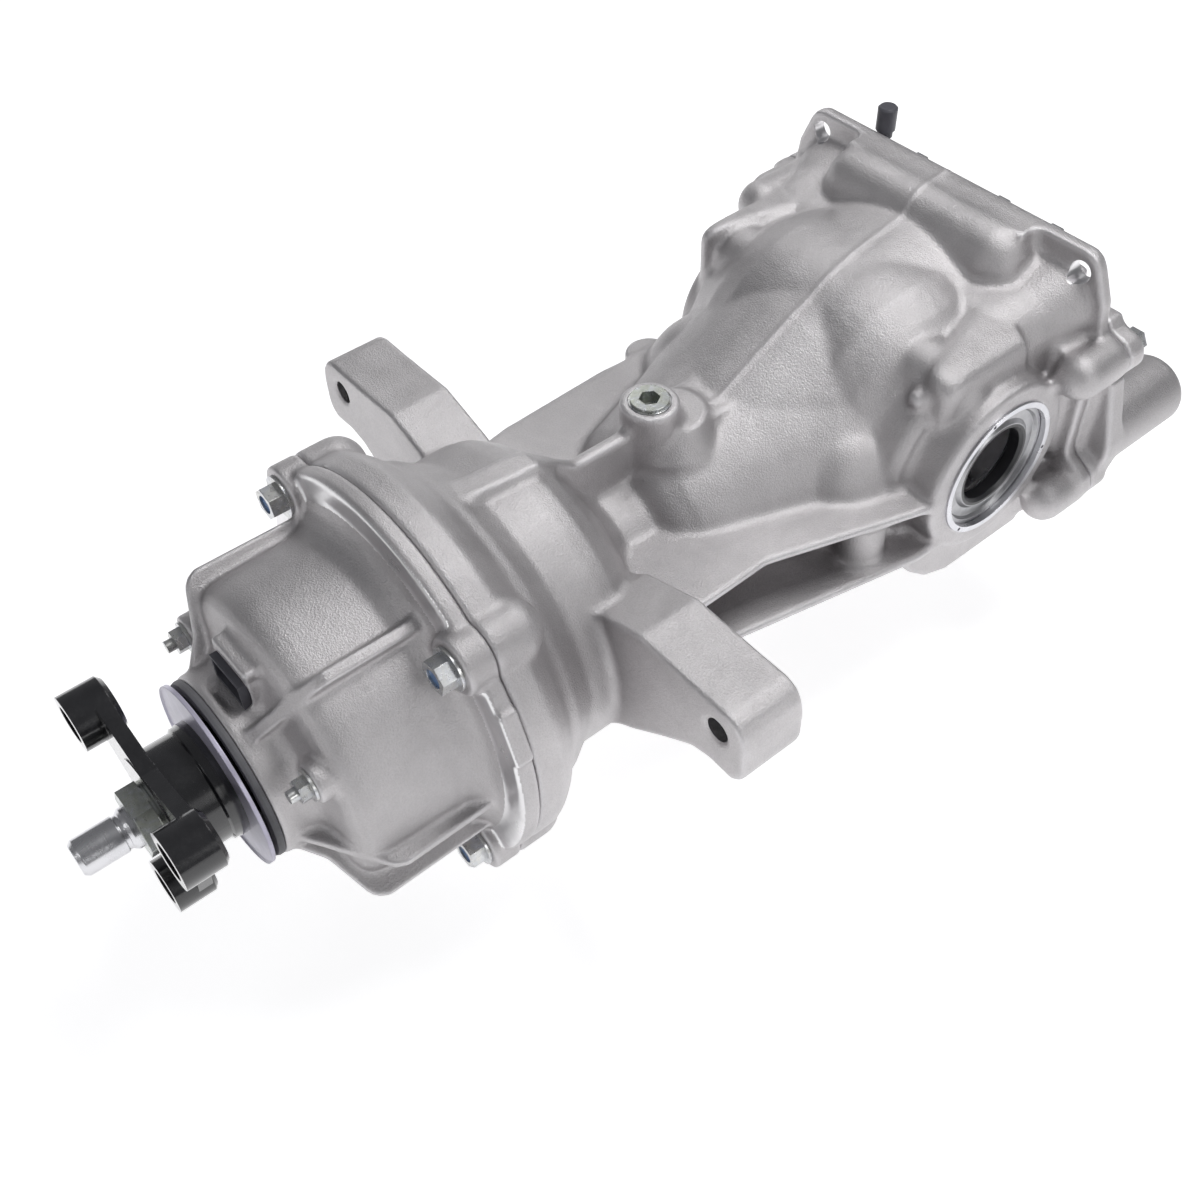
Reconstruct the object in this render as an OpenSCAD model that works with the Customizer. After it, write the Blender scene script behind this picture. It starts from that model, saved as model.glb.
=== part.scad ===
// Rear differential of an all-wheel-drive car with an electric coupling on its nose.
// The propeller shaft bolts to the three-lobed flange at the front. A plate coupling
// passes the drive to the pinion, which turns the ring gear and the differential.
// +Y runs to the rear, +X to the side that carries the ring gear's far bearing, +Z up.
// The origin is the centre of the input flange's bolt circle, on the lobes' front face.

/* [Input flange] */
// Pitch radius of the three flange holes
flange_bolt_r = 50.9; // [45:0.1:60]
// Radius of each flange hole
flange_hole_r = 5.3; // [4:0.1:7]
// Radius of the counterbore in each flange hole
flange_recess_r = 8.9; // [8:0.1:9.5]
// Outer radius of each lobe
lobe_r = 13.6; // [12:0.1:16]
// Length of each lobe along the drive axis
lobe_len = 20; // [16:0.5:24]
// Radius of the flange hub
hub_r = 28; // [26:0.1:30]
// Radius of the dust disc
dust_disc_r = 45; // [42:0.5:46]
// Radius of the pilot on the front of the input shaft
pilot_r = 8.8; // [7:0.1:9.5]
// Length of the pilot in front of the bolt faces
pilot_len = 27; // [15:1:32]
// Width across flats of the flange nut
flange_nut_af = 30; // [27:1:32]

/* [Front cover] */
// Outer radius of the cover's neck
neck_r = 45; // [44:0.5:46]
// Outer radius of the cover's drum
drum_r = 74; // [73:0.5:76]
// Inner radius of the coupling chamber
chamber_r = 67; // [66.5:0.1:68]
// Position of the joint between cover and housing
joint_y = 140; // [139:0.5:141]
// Outer radius of the joint flanges
joint_flange_r = 100; // [98:0.5:101]
// Pitch radius of the cover bolts
cover_bolt_r = 92.6; // [92:0.1:94]
// Radius of the bosses the cover bolts pass through
cover_boss_r = 14; // [13:0.1:15]
// Length of the threaded shank of a cover bolt
cover_bolt_len = 34; // [30:1:36]
// Height of the connector socket
socket_h = 14; // [12:0.5:15]
// Width of the connector socket
socket_w = 24; // [20:0.5:26]

/* [Main housing] */
// Radius of the bell behind the joint
bell_r = 77.5; // [76.5:0.1:79]
// Front face of the mounting arms
arm_y0 = 200.5; // [199:0.5:202]
// Thickness of the mounting arms along the drive axis
arm_len = 34.5; // [30:0.5:38]
// Distance of each arm hole from the middle plane
arm_hole_x = 141.9; // [140:0.1:144]
// Height of the arm holes above the drive axis
arm_hole_z = 35.7; // [34:0.1:37]
// Radius of the tapped arm holes
arm_hole_r = 6; // [5:0.5:6.5]
// Radius of the pinion neck
pinion_neck_r = 34; // [33:0.5:36]
// Position of the filler plug along the drive axis
plug_y = 287.5; // [286:0.5:290]
// Height of the filler boss
plug_z = 73; // [70:0.5:75]
// Thickness of the two side plates
plate_t = 4.5; // [3:0.5:5]
// Top of the upper side plate
plate_z_hi = 21; // [19:0.5:23]
// Top of the lower side plate
plate_z_lo = -11; // [-13:0.5:-9]
// Position of the joint between housing and rear cover
rear_joint_y = 494; // [493.5:0.5:495]
// Thickness of the housing's rear flange
rear_flange_t = 8; // [7:0.5:10]
// Half distance between the ear holes
ear_hole_x = 86.2; // [85:0.1:87.5]
// Height of the ear holes
ear_hole_z = 97.5; // [96.5:0.1:98.5]
// Radius of the ear holes
ear_hole_r = 5.8; // [5:0.1:6]
// Height of the cross ridge between the ears
cross_ridge_z = 109; // [107:0.5:111]

/* [Axle line] */
// Position of the axle line along the drive axis
axle_y = 427; // [426.5:0.1:427.5]
// Height of the axle line above the drive axis
axle_z = 18; // [17.6:0.1:18.4]
// Outer face of the right axle boss
axle_face_x = 104; // [103:0.5:106]
// Outer face of the left axle boss
axle_face_left_x = 87; // [86:0.5:89]
// Outer radius of the right axle boss
axle_boss_r = 48; // [46:0.5:50]
// Outer radius of the left axle boss
axle_boss_left_r = 43; // [42:0.5:46]
// Radius of the recess that holds the axle seal
axle_recess_r = 37.6; // [37:0.1:38.5]
// Radius of the axle seal's opening
axle_opening_r = 20.3; // [18:0.1:22]

/* [Rear cover] */
// Depth of the rear cover behind the joint
cover_depth = 44; // [42:1:50]
// Thickness of the rear cover's flange
cover_flange_t = 12; // [10:0.5:14]
// Distance of each rear mount from the middle plane
mount_x = 102; // [101:0.5:103]
// Height of the rear mounts
mount_z = -6; // [-8:0.5:-4]
// Outer radius of each rear mount
mount_r = 20; // [18:0.5:21]
// Rear end of the rear mounts
mount_y1 = 568; // [562:1:572]
// Radius of the bore in each rear mount
mount_bore_r = 8; // [6:0.1:10]
// Height of the breather cap
breather_h = 17; // [14:0.5:20]

/* [Gears] */
// Teeth on the ring gear
ring_teeth = 38; // [38:1:38]
// Teeth on the pinion
pinion_teeth = 13; // [13:1:13]
// Outer radius of the ring gear
ring_r = 66; // [65:0.5:66]
// Teeth on each side gear
side_teeth = 16; // [16:1:16]
// Teeth on each spider gear
spider_teeth = 10; // [10:1:10]
// Pitch radius of the side gears at their outer end
side_pitch_r = 21; // [20.5:0.1:21.3]
// Play between gear teeth
backlash = 0.58; // [0.3:0.02:0.6]

/* [Bearings and shafts] */
// Radius of the bore in the input bearing
input_bore_r = 17.5; // [17:0.1:18]
// Outer radius of the input bearing
input_outer_r = 36; // [35.5:0.1:36.5]
// Radius of the pinion shaft in its front bearing
tail_bore_r = 15; // [14.5:0.1:15.5]
// Outer radius of the front pinion bearing
tail_outer_r = 27.5; // [27:0.1:28.5]
// Radius of the pinion shaft in its rear bearing
head_bore_r = 17.5; // [17:0.1:18]
// Outer radius of the rear pinion bearing
head_outer_r = 34; // [33.5:0.1:34.5]
// Radius of the carrier's trunnions
trunnion_r = 17.5; // [17.3:0.1:17.7]
// Outer radius of the carrier bearings
carrier_outer_r = 31; // [30.6:0.1:31.4]

/* [Fits] */
// Radial clearance of a running fit
run_gap = 0.05; // [0.02:0.01:0.09]
// Gap between faces that turn past each other
face_gap = 0.35; // [0.3:0.05:0.5]

/* [Coupling] */
// Number of plates splined to the drum
outer_plate_count = 8; // [4:1:8]
// Thickness of each plate
plate_pack_t = 1.6; // [1.2:0.1:1.7]
// Number of ramp balls
ramp_ball_count = 6; // [3:1:8]

/* [Hidden] */
fn_big = 96;
fn_mid = 48;
fn_small = 32;
cast = [0.74, 0.73, 0.75];
steel = [0.62, 0.63, 0.66];
dark_steel = [0.36, 0.37, 0.39];
zinc = [0.72, 0.73, 0.70];
gloss_black = [0.03, 0.03, 0.035];
rubber_black = [0.07, 0.07, 0.08];
plastic_grey = [0.25, 0.25, 0.28];
copper = [0.72, 0.42, 0.22];
brass = [0.78, 0.62, 0.32];
lavender = [0.80, 0.79, 0.90];
lobe_angles = [-60, 60, 180];
stud_angles = [-60, 60, 180];
cover_bolt_angles = [45, 135, 225, 315];
stud_r = chamber_r - 7;
clutch_drum_r = chamber_r - 2.5;
drum_inner_r = clutch_drum_r - 4;
gear_room = ring_r + 5;
stud_y = 58;
bearing_y0 = 54.6;
bearing_w = 23;
tail_y0 = 246;
tail_w = 17;
head_y0 = axle_y - ring_r - 24;
head_w = 20;
carrier_x0 = 44;
carrier_w = 16;
cap_bolt_z = 40;
undercut = 0.2;
offset_r = axle_z;
ring_face_out = sqrt(ring_r * ring_r - offset_r * offset_r);
pinion_cone = atan(pinion_teeth / ring_teeth);
ring_cone_len = ring_face_out / cos(pinion_cone);
ring_normal_pitch = 360 / ring_teeth * PI / 180 * ring_face_out;
ring_module = ring_normal_pitch / PI;
side_cone = atan(side_teeth / spider_teeth);
side_cone_len = side_pitch_r / sin(side_cone);
side_module = 2 * side_pitch_r / side_teeth;
drum_y0 = 107;
drum_y1 = 190;
pack_y0 = 139;
pack_step = plate_pack_t * 2 + face_gap * 2;
pack_y1 = pack_y0 + outer_plate_count * pack_step;
rear_bolts = [[110, 57], [109, -26.3], [-106, 57], [-109, -26.3], [52, 88], [18, 88], [-38, 88],
    [62, -60], [-62, -60], [0, -64]];
front_depth = joint_y + 27;
hub_bore_r = 14;
arm_outline = [[40, 24], [60, 41], [93, 52], [127, 51], [148, 51], [154, 48.5], [157.4, 43.5], [159, 36],
    [159, 22], [157.5, 16.5], [152.7, 12.5], [138.8, 13.3], [128, 10.5], [110, -2], [90, -17],
    [72.4, -28.4], [50, -40]];
rear_outline = [[62, 109], [88, 109], [93, 106.5], [96, 102], [103, 86], [105, 70], [116, 67], [121, 62],
    [122, 55], [117, 47], [110, 44], [106, 30], [106, -8], [112, -11], [120, -17], [122, -25], [118, -33],
    [104, -36], [96, -52], [84, -70], [66, -75], [20, -75], [0, -77]];

// Points an axis that runs along local Z to the rear, from a given position.
module along_y(y) {
    translate([0, y, 0]) rotate([-90, 0, 0]) children();
}

// Points an axis that runs along local Z to the +X side, on the axle line.
module along_x(x) {
    translate([x, axle_y, axle_z]) rotate([0, 90, 0]) children();
}

// Turns a profile of [radius, position] about the drive axis.
module spin_y(n = fn_big) {
    rotate([-90, 0, 0]) rotate_extrude($fn = n) children();
}

// Turns a profile of [radius, position] about the axle line.
module spin_x(n = fn_big) {
    along_x(0) rotate_extrude($fn = n) children();
}

// A cylinder along local Z with its top edge bevelled.
module bevelled(r, h, c, n = fn_mid) {
    rotate_extrude($fn = n) polygon([[0, 0], [r, 0], [r, h - c], [r - c, h], [0, h]]);
}

// A plain tube along the drive axis.
module tube_y(ro, ri, y0, y1, n = fn_big) {
    along_y(y0) difference() {
        cylinder(r = ro, h = y1 - y0, $fn = n);
        translate([0, 0, -1]) cylinder(r = ri, h = y1 - y0 + 2, $fn = n);
    }
}

// A plain tube along the axle line.
module tube_x(ro, ri, x0, x1, n = fn_big) {
    along_x(x0) difference() {
        cylinder(r = ro, h = x1 - x0, $fn = n);
        translate([0, 0, -1]) cylinder(r = ri, h = x1 - x0 + 2, $fn = n);
    }
}

// Places children round the drive axis, at angles measured from straight up.
module around_y(angles, r) {
    for (a = angles) {
        rotate([0, a, 0]) translate([0, 0, r]) children();
    }
}

// Keeps children and their mirror image across the middle plane.
module both_sides() {
    children();
    mirror([1, 0, 0]) children();
}

// Gear tooth helpers: the involute angle, and a tooth's half width at a radius.
function involute(a) = tan(a) * 180 / PI - a;
function half_angle(rb, rp, half_t, r) =
    half_t / rp * 180 / PI + involute(acos(min(1, rb / rp))) - involute(acos(min(1, rb / max(r, rb))))
        - max(0, rb - r) * undercut / rp * 180 / PI;

// One bevel gear's outline in the plane at height z, as seen from its cone apex.
// Depths h are taken on the back cone and mapped along the cone to that plane.
function bevel_outline(teeth, cone, len, hs, half_t, z) = [
    for (i = [0 : teeth - 1], s = [-1, 1], k = [0 : len(hs) - 1])
        let (
            h = s < 0 ? hs[k] : hs[len(hs) - 1 - k],
            rv = len * tan(cone),
            rb = rv * cos(20),
            half = half_angle(rb, rv, half_t, rv + h) * (rv + h) / (len * sin(cone + atan(h / len))),
            r = z * tan(cone + atan(h / len)),
            a = i * 360 / teeth + s * half
        ) [r * cos(a), r * sin(a)]
];

// A straight bevel gear with its apex at the origin and its large end up.
module bevel_gear(teeth, cone, len, add, ded, thick, keep, face) {
    hs = [-ded, -ded * 0.45, 0, add * 0.5, add];
    z1 = len * cos(cone) + ded * sin(cone) + 1;
    intersection() {
        translate([0, 0, z1]) mirror([0, 0, 1])
            linear_extrude(height = z1 * (1 - keep), scale = keep)
                polygon(bevel_outline(teeth, cone, len, hs, thick / 2, z1));
        rotate_extrude($fn = fn_mid) polygon([
            [0, len * cos(cone) * (1 - face / len)],
            [len * sin(cone) * (1 - face / len) - 6 * cos(cone), len * cos(cone) * (1 - face / len)
                + 6 * sin(cone) * 0],
            [(len - face) * sin(cone) + 8 * cos(cone), (len - face) * cos(cone) - 8 * sin(cone)],
            [len * sin(cone) + 8 * cos(cone), len * cos(cone) - 8 * sin(cone)],
            [len * sin(cone) - ded * cos(cone), len * cos(cone) + ded * sin(cone)],
            [0, len * cos(cone) + ded * sin(cone)]
        ]);
    }
}

// Rollers set at the angle of a tapered bearing, round local Z.
module taper_rollers(mid_r, roller_r, roller_len, tilt, count, w) {
    for (i = [0 : count - 1]) {
        rotate([0, 0, i * 360 / count]) translate([mid_r, 0, w / 2]) rotate([0, tilt, 0])
            cylinder(r = roller_r, h = roller_len, center = true, $fn = 24);
    }
}

// Inner ring of a tapered bearing with its rollers and cage, round local Z.
module taper_cone(bore_r, mid_r, roller_r, roller_len, tilt, count, w) {
    k = tan(tilt);
    ri = mid_r - roller_r / cos(tilt) - 0.02;
    difference() {
        rotate_extrude($fn = fn_mid) polygon([[bore_r, 0], [ri - w / 2 * k, 0], [ri + w / 2 * k, w],
            [bore_r, w]]);
        taper_rollers(mid_r, roller_r + 0.02, roller_len + 0.1, tilt, count, w);
    }
    taper_rollers(mid_r, roller_r, roller_len, tilt, count, w);
}

// Outer ring of a tapered bearing, round local Z.
module taper_cup(outer_r, mid_r, roller_r, tilt, w) {
    k = tan(tilt);
    ro = mid_r + roller_r / cos(tilt) + run_gap;
    rotate_extrude($fn = fn_mid)
        polygon([[ro - w / 2 * k, 0], [outer_r, 0], [outer_r, w], [ro + w / 2 * k, w]]);
}

// A flange bolt along local Z: head above zero, shank below.
module flange_bolt(shank_r, len, head_af, head_h, flange_r) {
    translate([0, 0, -len]) cylinder(r = shank_r, h = len + 1, $fn = fn_small);
    cylinder(r = flange_r, h = 1.6, $fn = fn_small);
    difference() {
        translate([0, 0, 1]) cylinder(r = head_af / sqrt(3), h = head_h - 1, $fn = 6);
        translate([0, 0, head_h - 1.6]) cylinder(r = head_af / 2 - 2.4, h = 3, $fn = fn_small);
    }
}

// Solid outline of the housing's rear flange and the rear cover, across the drive axis.
module rear_flange_shape() {
    polygon(concat(rear_outline, [for (i = [len(rear_outline) - 2 : -1 : 0])
        [-rear_outline[i][0], rear_outline[i][1]]]));
}

// Extrudes a profile drawn in X and Z along the drive axis.
module extrude_y(y0, y1) {
    translate([0, y1, 0]) rotate([90, 0, 0]) linear_extrude(height = y1 - y0) children();
}

// Extrudes a profile drawn in Y and Z across the housing.
module extrude_x(x0, x1) {
    translate([x0, 0, 0]) rotate([90, 0, 90]) linear_extrude(height = x1 - x0) children();
}

// Profile of the ridge plate down the middle, seen from the side.
module top_ridge_shape() {
    polygon([[150, 60], [156, 85.6], [217, 80], [241, 62], [276, 62], [276, 20], [240, 20], [200, 60]]);
}

// Three lobes on a hub, which the propeller shaft's joint bolts to.
module input_flange() {
    color(gloss_black) difference() {
        union() {
            around_y(lobe_angles, flange_bolt_r) along_y(0) bevelled(lobe_r, lobe_len, 2);
            for (a = lobe_angles) {
                rotate([0, a, 0]) extrude_y(10.5, lobe_len - 2.5)
                    polygon([[-24, 8], [-lobe_r + 0.5, flange_bolt_r], [lobe_r - 0.5, flange_bolt_r],
                        [24, 8]]);
            }
            spin_y() polygon([[0, 10], [hub_r - 1.6, 10], [hub_r - 1.6, 31], [hub_r - 0.3, 32],
                [hub_r - 0.3, 34],
                [hub_r, 35], [hub_r, 42], [24, 42.4], [24, 53.6], [0, 53.6]]);
        }
        spin_y() polygon([[hub_bore_r, 4], [hub_bore_r, 60], [0, 60], [0, 4]]);
        around_y(lobe_angles, flange_bolt_r) along_y(-1) cylinder(r = flange_hole_r, h = 30, $fn = fn_mid);
        around_y(lobe_angles, flange_bolt_r) along_y(-1) cylinder(r = flange_recess_r, h = 10,
            $fn = fn_mid);
    }
}

// Hexagon nut with a washer face that clamps the flange to the input shaft.
module flange_nut() {
    color(dark_steel) difference() {
        union() {
            along_y(-0.5) cylinder(r = flange_nut_af / sqrt(3), h = 9, $fn = 6);
            along_y(8.5) cylinder(r = flange_nut_af / 2 + 0.6, h = 1.5, $fn = fn_mid);
        }
        along_y(-2) cylinder(r = 10, h = 14, $fn = fn_mid);
    }
}

// Input shaft with its pilot, thread, bearing seat and the disc that drives the drum.
module input_shaft() {
    color(steel) difference() {
        spin_y() polygon([[0, -pilot_len], [pilot_r - 1.6, -pilot_len], [pilot_r, -pilot_len + 2],
            [pilot_r, -7], [pilot_r - 0.6, -6.5], [pilot_r - 0.6, -5], [pilot_r, -4.5], [10, -3],
            [10, 10.6], [hub_bore_r, 10.6], [hub_bore_r, 53.8], [input_bore_r, 53.8],
            [input_bore_r, 77.8], [21, 77.8], [21, 99], [52, 99], [52, 106.6], [0, 106.6]]);
        along_y(88) cylinder(r = 8, h = 20, $fn = fn_mid);
    }
}

// Thin slinger disc pressed on the flange hub.
module dust_disc() {
    color(lavender) spin_y() polygon([[hub_r, 38.6], [dust_disc_r - 1, 39.2], [dust_disc_r, 38.4],
        [dust_disc_r, 40.4], [dust_disc_r - 1, 40.4], [hub_r, 40.4]]);
}

// Rubber ring between the slinger and the seal.
module dust_ring() {
    color(rubber_black) spin_y() polygon([[38.4, 42.8], [43.6, 42.8], [44.2, 44.2], [44.2, 46],
        [38.4, 46]]);
}

// Lip seal in the cover's neck, running on the flange hub.
module input_seal() {
    color(rubber_black) spin_y() polygon([[24 + run_gap, 47.4], [26, 45.4], [37, 45.4], [37, 53], [35, 53],
        [35, 47.4], [27.5, 47.4], [26.5, 51], [24 + run_gap, 49]]);
}

// Snap ring that keeps the input bearing in the neck.
module bearing_snap_ring() {
    color(steel) difference() {
        spin_y() polygon([[33.4, 53.1], [37.8, 53.1], [37.8, 54.5], [33.4, 54.5]]);
        translate([-5, 50, 30]) cube([10, 6, 12]);
    }
}

// Outer ring of the double-row input bearing.
module input_bearing_outer() {
    color(steel) difference() {
        tube_y(input_outer_r, 30, bearing_y0, bearing_y0 + bearing_w);
        for (d = [-5.4, 5.4]) {
            along_y(bearing_y0 + bearing_w / 2 + d) rotate_extrude($fn = fn_mid)
                translate([26.9, 0]) circle(r = 4.75, $fn = fn_small);
        }
    }
}

// Inner ring of the double-row input bearing.
module input_bearing_inner() {
    color(steel) difference() {
        tube_y(23.8, input_bore_r, bearing_y0, bearing_y0 + bearing_w);
        for (d = [-5.4, 5.4]) {
            along_y(bearing_y0 + bearing_w / 2 + d) rotate_extrude($fn = fn_mid)
                translate([26.9, 0]) circle(r = 4.75, $fn = fn_small);
        }
    }
}

// Balls of the input bearing.
module input_bearing_balls() {
    color(steel) for (i = [0 : 13], d = [-5.4, 5.4]) {
        rotate([0, i * 360 / 14 + d * 2, 0]) translate([26.9, bearing_y0 + bearing_w / 2 + d, 0])
            sphere(r = 4.7, $fn = 24);
    }
}

// Rib on the front cover: a gusset from the neck that runs back over the drum.
module cover_rib(angle, t, top_r, corner_y) {
    rotate([0, angle, 0]) rotate([90, 0, 90]) linear_extrude(height = t, center = true)
        polygon([[50, 40], [51, neck_r], [60, 57], [corner_y - 5, top_r - 4], [corner_y, top_r],
            [corner_y + 10, top_r],
            [132, top_r - 1], [134, 70], [80, 70], [66, 60], [58, 40]]);
}

// Front cover: neck, rounded shoulder, ribbed drum and bolted flange.
module front_cover() {
    color(cast) difference() {
        union() {
            spin_y() polygon([[0, 46], [neck_r - 1, 46], [neck_r, 47], [neck_r, 57], [46.5, 61], [50, 64],
                [56, 66], [64, 67.5], [69, 69.5], [72, 72.5], [drum_r - 0.6, 77], [drum_r, 82],
                [drum_r + 1, 118], [78, 124], [82, 128.5], [88, 131], [joint_flange_r - 2, 131],
                [joint_flange_r, 133], [joint_flange_r, joint_y], [0, joint_y]]);
            cover_rib(30, 6, 80, 80);
            cover_rib(-42, 4, 80, 72);
            cover_rib(103, 5, 80, 80);
            cover_rib(123, 5, 83, 72);
            cover_rib(157, 5, 80, 80);
            cover_rib(-110, 5, 80, 80);
            around_y(cover_bolt_angles, cover_bolt_r)
                along_y(126) cylinder(r = cover_boss_r, h = joint_y - 126, $fn = fn_mid);
            around_y(cover_bolt_angles, 78) translate([-10, 126, -6]) cube([20, joint_y - 126, 16]);
            around_y(stud_angles, stud_r) along_y(61) cylinder(r = 9.5, h = 12, $fn = fn_mid);
            translate([-14, 60, 42]) cube([28, 12, 22]);
            rotate([0, 68, 0]) translate([-13, 131, joint_flange_r - 6]) cube([26, joint_y - 131, 7.5]);
        }
        spin_y() polygon([[0, 40], [38.6, 40], [38.6, 46], [37, 46], [37, 53], [37.9, 53], [37.9, 54.6],
            [input_outer_r, 54.6], [input_outer_r, bearing_y0 + bearing_w],
            [31, bearing_y0 + bearing_w + 0.01], [31, 79], [chamber_r - 3, 79], [chamber_r, 82],
            [chamber_r, joint_y + 1], [0, joint_y + 1]]);
        spin_y() polygon([[chamber_r + 4, joint_y - 3.2], [chamber_r + 7.2, joint_y - 3.2],
            [chamber_r + 7.2, joint_y + 1],
            [chamber_r + 4, joint_y + 1]]);
        around_y(cover_bolt_angles, cover_bolt_r) along_y(120) cylinder(r = 5.5, h = 30, $fn = fn_small);
        around_y(stud_angles, stud_r) along_y(55) cylinder(r = 3.3, h = 30, $fn = fn_small);
        translate([-socket_w / 2 - 0.3, 50, 50 - socket_h / 2 - 0.3])
            cube([socket_w + 0.6, 40, socket_h + 0.6]);
        rotate([0, 14, 0]) translate([0, 60, 60]) rotate([-90, 0, 0])
            cylinder(r = 2, h = 10, $fn = fn_small);
    }
}

// Round rubber ring in the cover's joint face.
module cover_o_ring() {
    color(rubber_black) along_y(joint_y - 1.6) rotate_extrude($fn = fn_big)
        translate([chamber_r + 5.6, 0]) circle(r = 1.58, $fn = 24);
}

// Flange bolts that hold the front cover.
module cover_bolts() {
    color(zinc) around_y(cover_bolt_angles, cover_bolt_r)
        translate([0, 126, 0]) rotate([90, 0, 0]) flange_bolt(5, cover_bolt_len, 14, 9, 10.4);
}

// Nuts on the studs that carry the coil.
module coil_stud_nuts() {
    color(zinc) around_y(stud_angles, stud_r) difference() {
        union() {
            along_y(59.6) cylinder(r = 7.6, h = 1.4, $fn = fn_small);
            along_y(54.6) cylinder(r = 10 / sqrt(3), h = 5.2, $fn = 6);
        }
        along_y(50) cylinder(r = 3, h = 14, $fn = fn_small);
    }
}

// Electric socket of the coil, standing out of the cover's shoulder.
module connector_socket() {
    color(plastic_grey) difference() {
        translate([-socket_w / 2, 57, 50 - socket_h / 2]) cube([socket_w, 23, socket_h]);
        translate([-socket_w / 2 + 1.6, 56, 50 - socket_h / 2 + 1.6])
            cube([socket_w - 3.2, 15, socket_h - 3.2]);
    }
    color(brass) for (x = [-5, 5]) {
        translate([x - 1, 62, 49]) cube([2, 10, 1.4]);
    }
}

// Steel yoke that holds the coil and carries its three studs.
module coil_yoke() {
    color(dark_steel) difference() {
        union() {
            spin_y() polygon([[28, 79], [stud_r + 3.5, 79], [stud_r + 3.5, 84], [stud_r - 3, 84],
                [stud_r - 3, 98],
                [28, 98]]);
            around_y(stud_angles, stud_r) along_y(50.6) cylinder(r = 2.96, h = 30, $fn = fn_small);
        }
        spin_y() polygon([[33, 86], [stud_r - 8, 86], [stud_r - 8, 99], [33, 99]]);
        along_y(78) cylinder(r = 24, h = 30, $fn = fn_mid);
        translate([-socket_w / 2 - 0.3, 70, 50 - socket_h / 2 - 0.3])
            cube([socket_w + 0.6, 10.4, socket_h + 0.6]);
    }
}

// Copper winding in the yoke.
module coil_winding() {
    color(copper) spin_y() polygon([[33.3, 86.2], [stud_r - 8.3, 86.2], [stud_r - 8.3, 97.4],
        [33.3, 97.4]]);
}

// Rotating drum of the coupling, with splines for the outer plates.
module clutch_drum() {
    color(steel) difference() {
        union() {
            tube_y(clutch_drum_r, drum_inner_r, drum_y0, drum_y1);
            tube_y(clutch_drum_r, drum_inner_r - 8.48, 99, drum_y0 + 0.01);
            tube_y(drum_inner_r + 0.1, 30, drum_y0 + 0.01, drum_y0 + 4);
        }
        for (i = [0 : 23]) {
            rotate([0, i * 15, 0]) translate([-3, drum_y0 + 4.5, drum_inner_r - 2.5])
                cube([6, drum_y1 - drum_y0, 4.5]);
        }
        spin_y() polygon([[drum_inner_r - 0.5, 184.2], [drum_inner_r + 1.9, 184.2],
            [drum_inner_r + 1.9, 186.4],
            [drum_inner_r - 0.5, 186.4]]);
    }
}

// Snap ring at the open end of the drum.
module drum_snap_ring() {
    color(steel) difference() {
        spin_y() polygon([[drum_inner_r - 2.9, 184.3], [drum_inner_r + 1.7, 184.3],
            [drum_inner_r + 1.7, 186.3],
            [drum_inner_r - 2.9, 186.3]]);
        translate([-6, 183, 50]) cube([12, 5, 14]);
    }
}

// End plate that the clutch pack bears against.
module pressure_end_plate() {
    color(steel) difference() {
        tube_y(drum_inner_r - 0.7, 40, pack_y1 + 0.3, 184.2);
    }
}

// One outer plate with six pairs of tabs that ride in the drum's splines.
module outer_plate(y, t) {
    tube_y(drum_inner_r - 0.9, 40, y, y + t, fn_big);
    for (i = [0 : 11]) {
        rotate([0, i * 30, 0]) translate([-2.6, y, drum_inner_r - 2.5]) cube([5.2, t, 4]);
    }
}

// Outer plates of the coupling.
module outer_plates() {
    color(dark_steel) for (i = [0 : outer_plate_count - 1]) {
        outer_plate(pack_y0 + i * pack_step, plate_pack_t);
    }
}

// Inner plates of the coupling, lined on both faces.
module inner_plates() {
    color(brass) for (i = [0 : outer_plate_count - 1]) {
        tube_y(drum_inner_r - 3.5, 36.6, pack_y0 + i * pack_step + plate_pack_t + face_gap,
            pack_y0 + (i + 1) * pack_step - face_gap);
    }
}

// Small pilot clutch plates and the armature that squeezes them.
module pilot_clutch() {
    color(dark_steel) for (y = [112, 115]) {
        outer_plate(y, 1.2);
    }
    color(steel) outer_plate(118, 4);
}

// Pilot cam ring with ball pockets, joined to the pilot clutch.
module pilot_cam() {
    color(steel) difference() {
        union() {
            tube_y(38, 20, 124, 130.4);
            tube_y(38, 33.6, 112, 124.01);
        }
        ramp_pockets(131);
    }
}

// Main cam ring, which presses on the clutch pack when the balls climb.
module main_cam() {
    color(steel) difference() {
        tube_y(drum_inner_r - 4.5, 20, 131.6, 138.4);
        ramp_pockets(131);
    }
}

// Shallow round pockets for the ramp balls.
module ramp_pockets(y) {
    for (i = [0 : ramp_ball_count - 1]) {
        rotate([0, i * 360 / ramp_ball_count, 0]) translate([0, y, 29]) sphere(r = 4.05, $fn = 24);
    }
}

// Balls between the two cam rings.
module ramp_balls() {
    color(steel) for (i = [0 : ramp_ball_count - 1]) {
        rotate([0, i * 360 / ramp_ball_count, 0]) translate([0, 131, 29]) sphere(r = 4, $fn = 24);
    }
}

// Hub on the pinion stub that the inner plates are splined to.
module clutch_hub() {
    color(steel) difference() {
        union() {
            tube_y(36.5, 28, 139, pack_y1 + 3);
            tube_y(28.1, 12.5, 162, 176);
            tube_y(19.6, 12.5, 122, 176);
        }
        for (i = [0 : 5]) {
            rotate([0, i * 60 + 30, 0]) translate([0, 160, 22]) rotate([-90, 0, 0])
                cylinder(r = 3.2, h = 20, $fn = 24);
        }
    }
}

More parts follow.
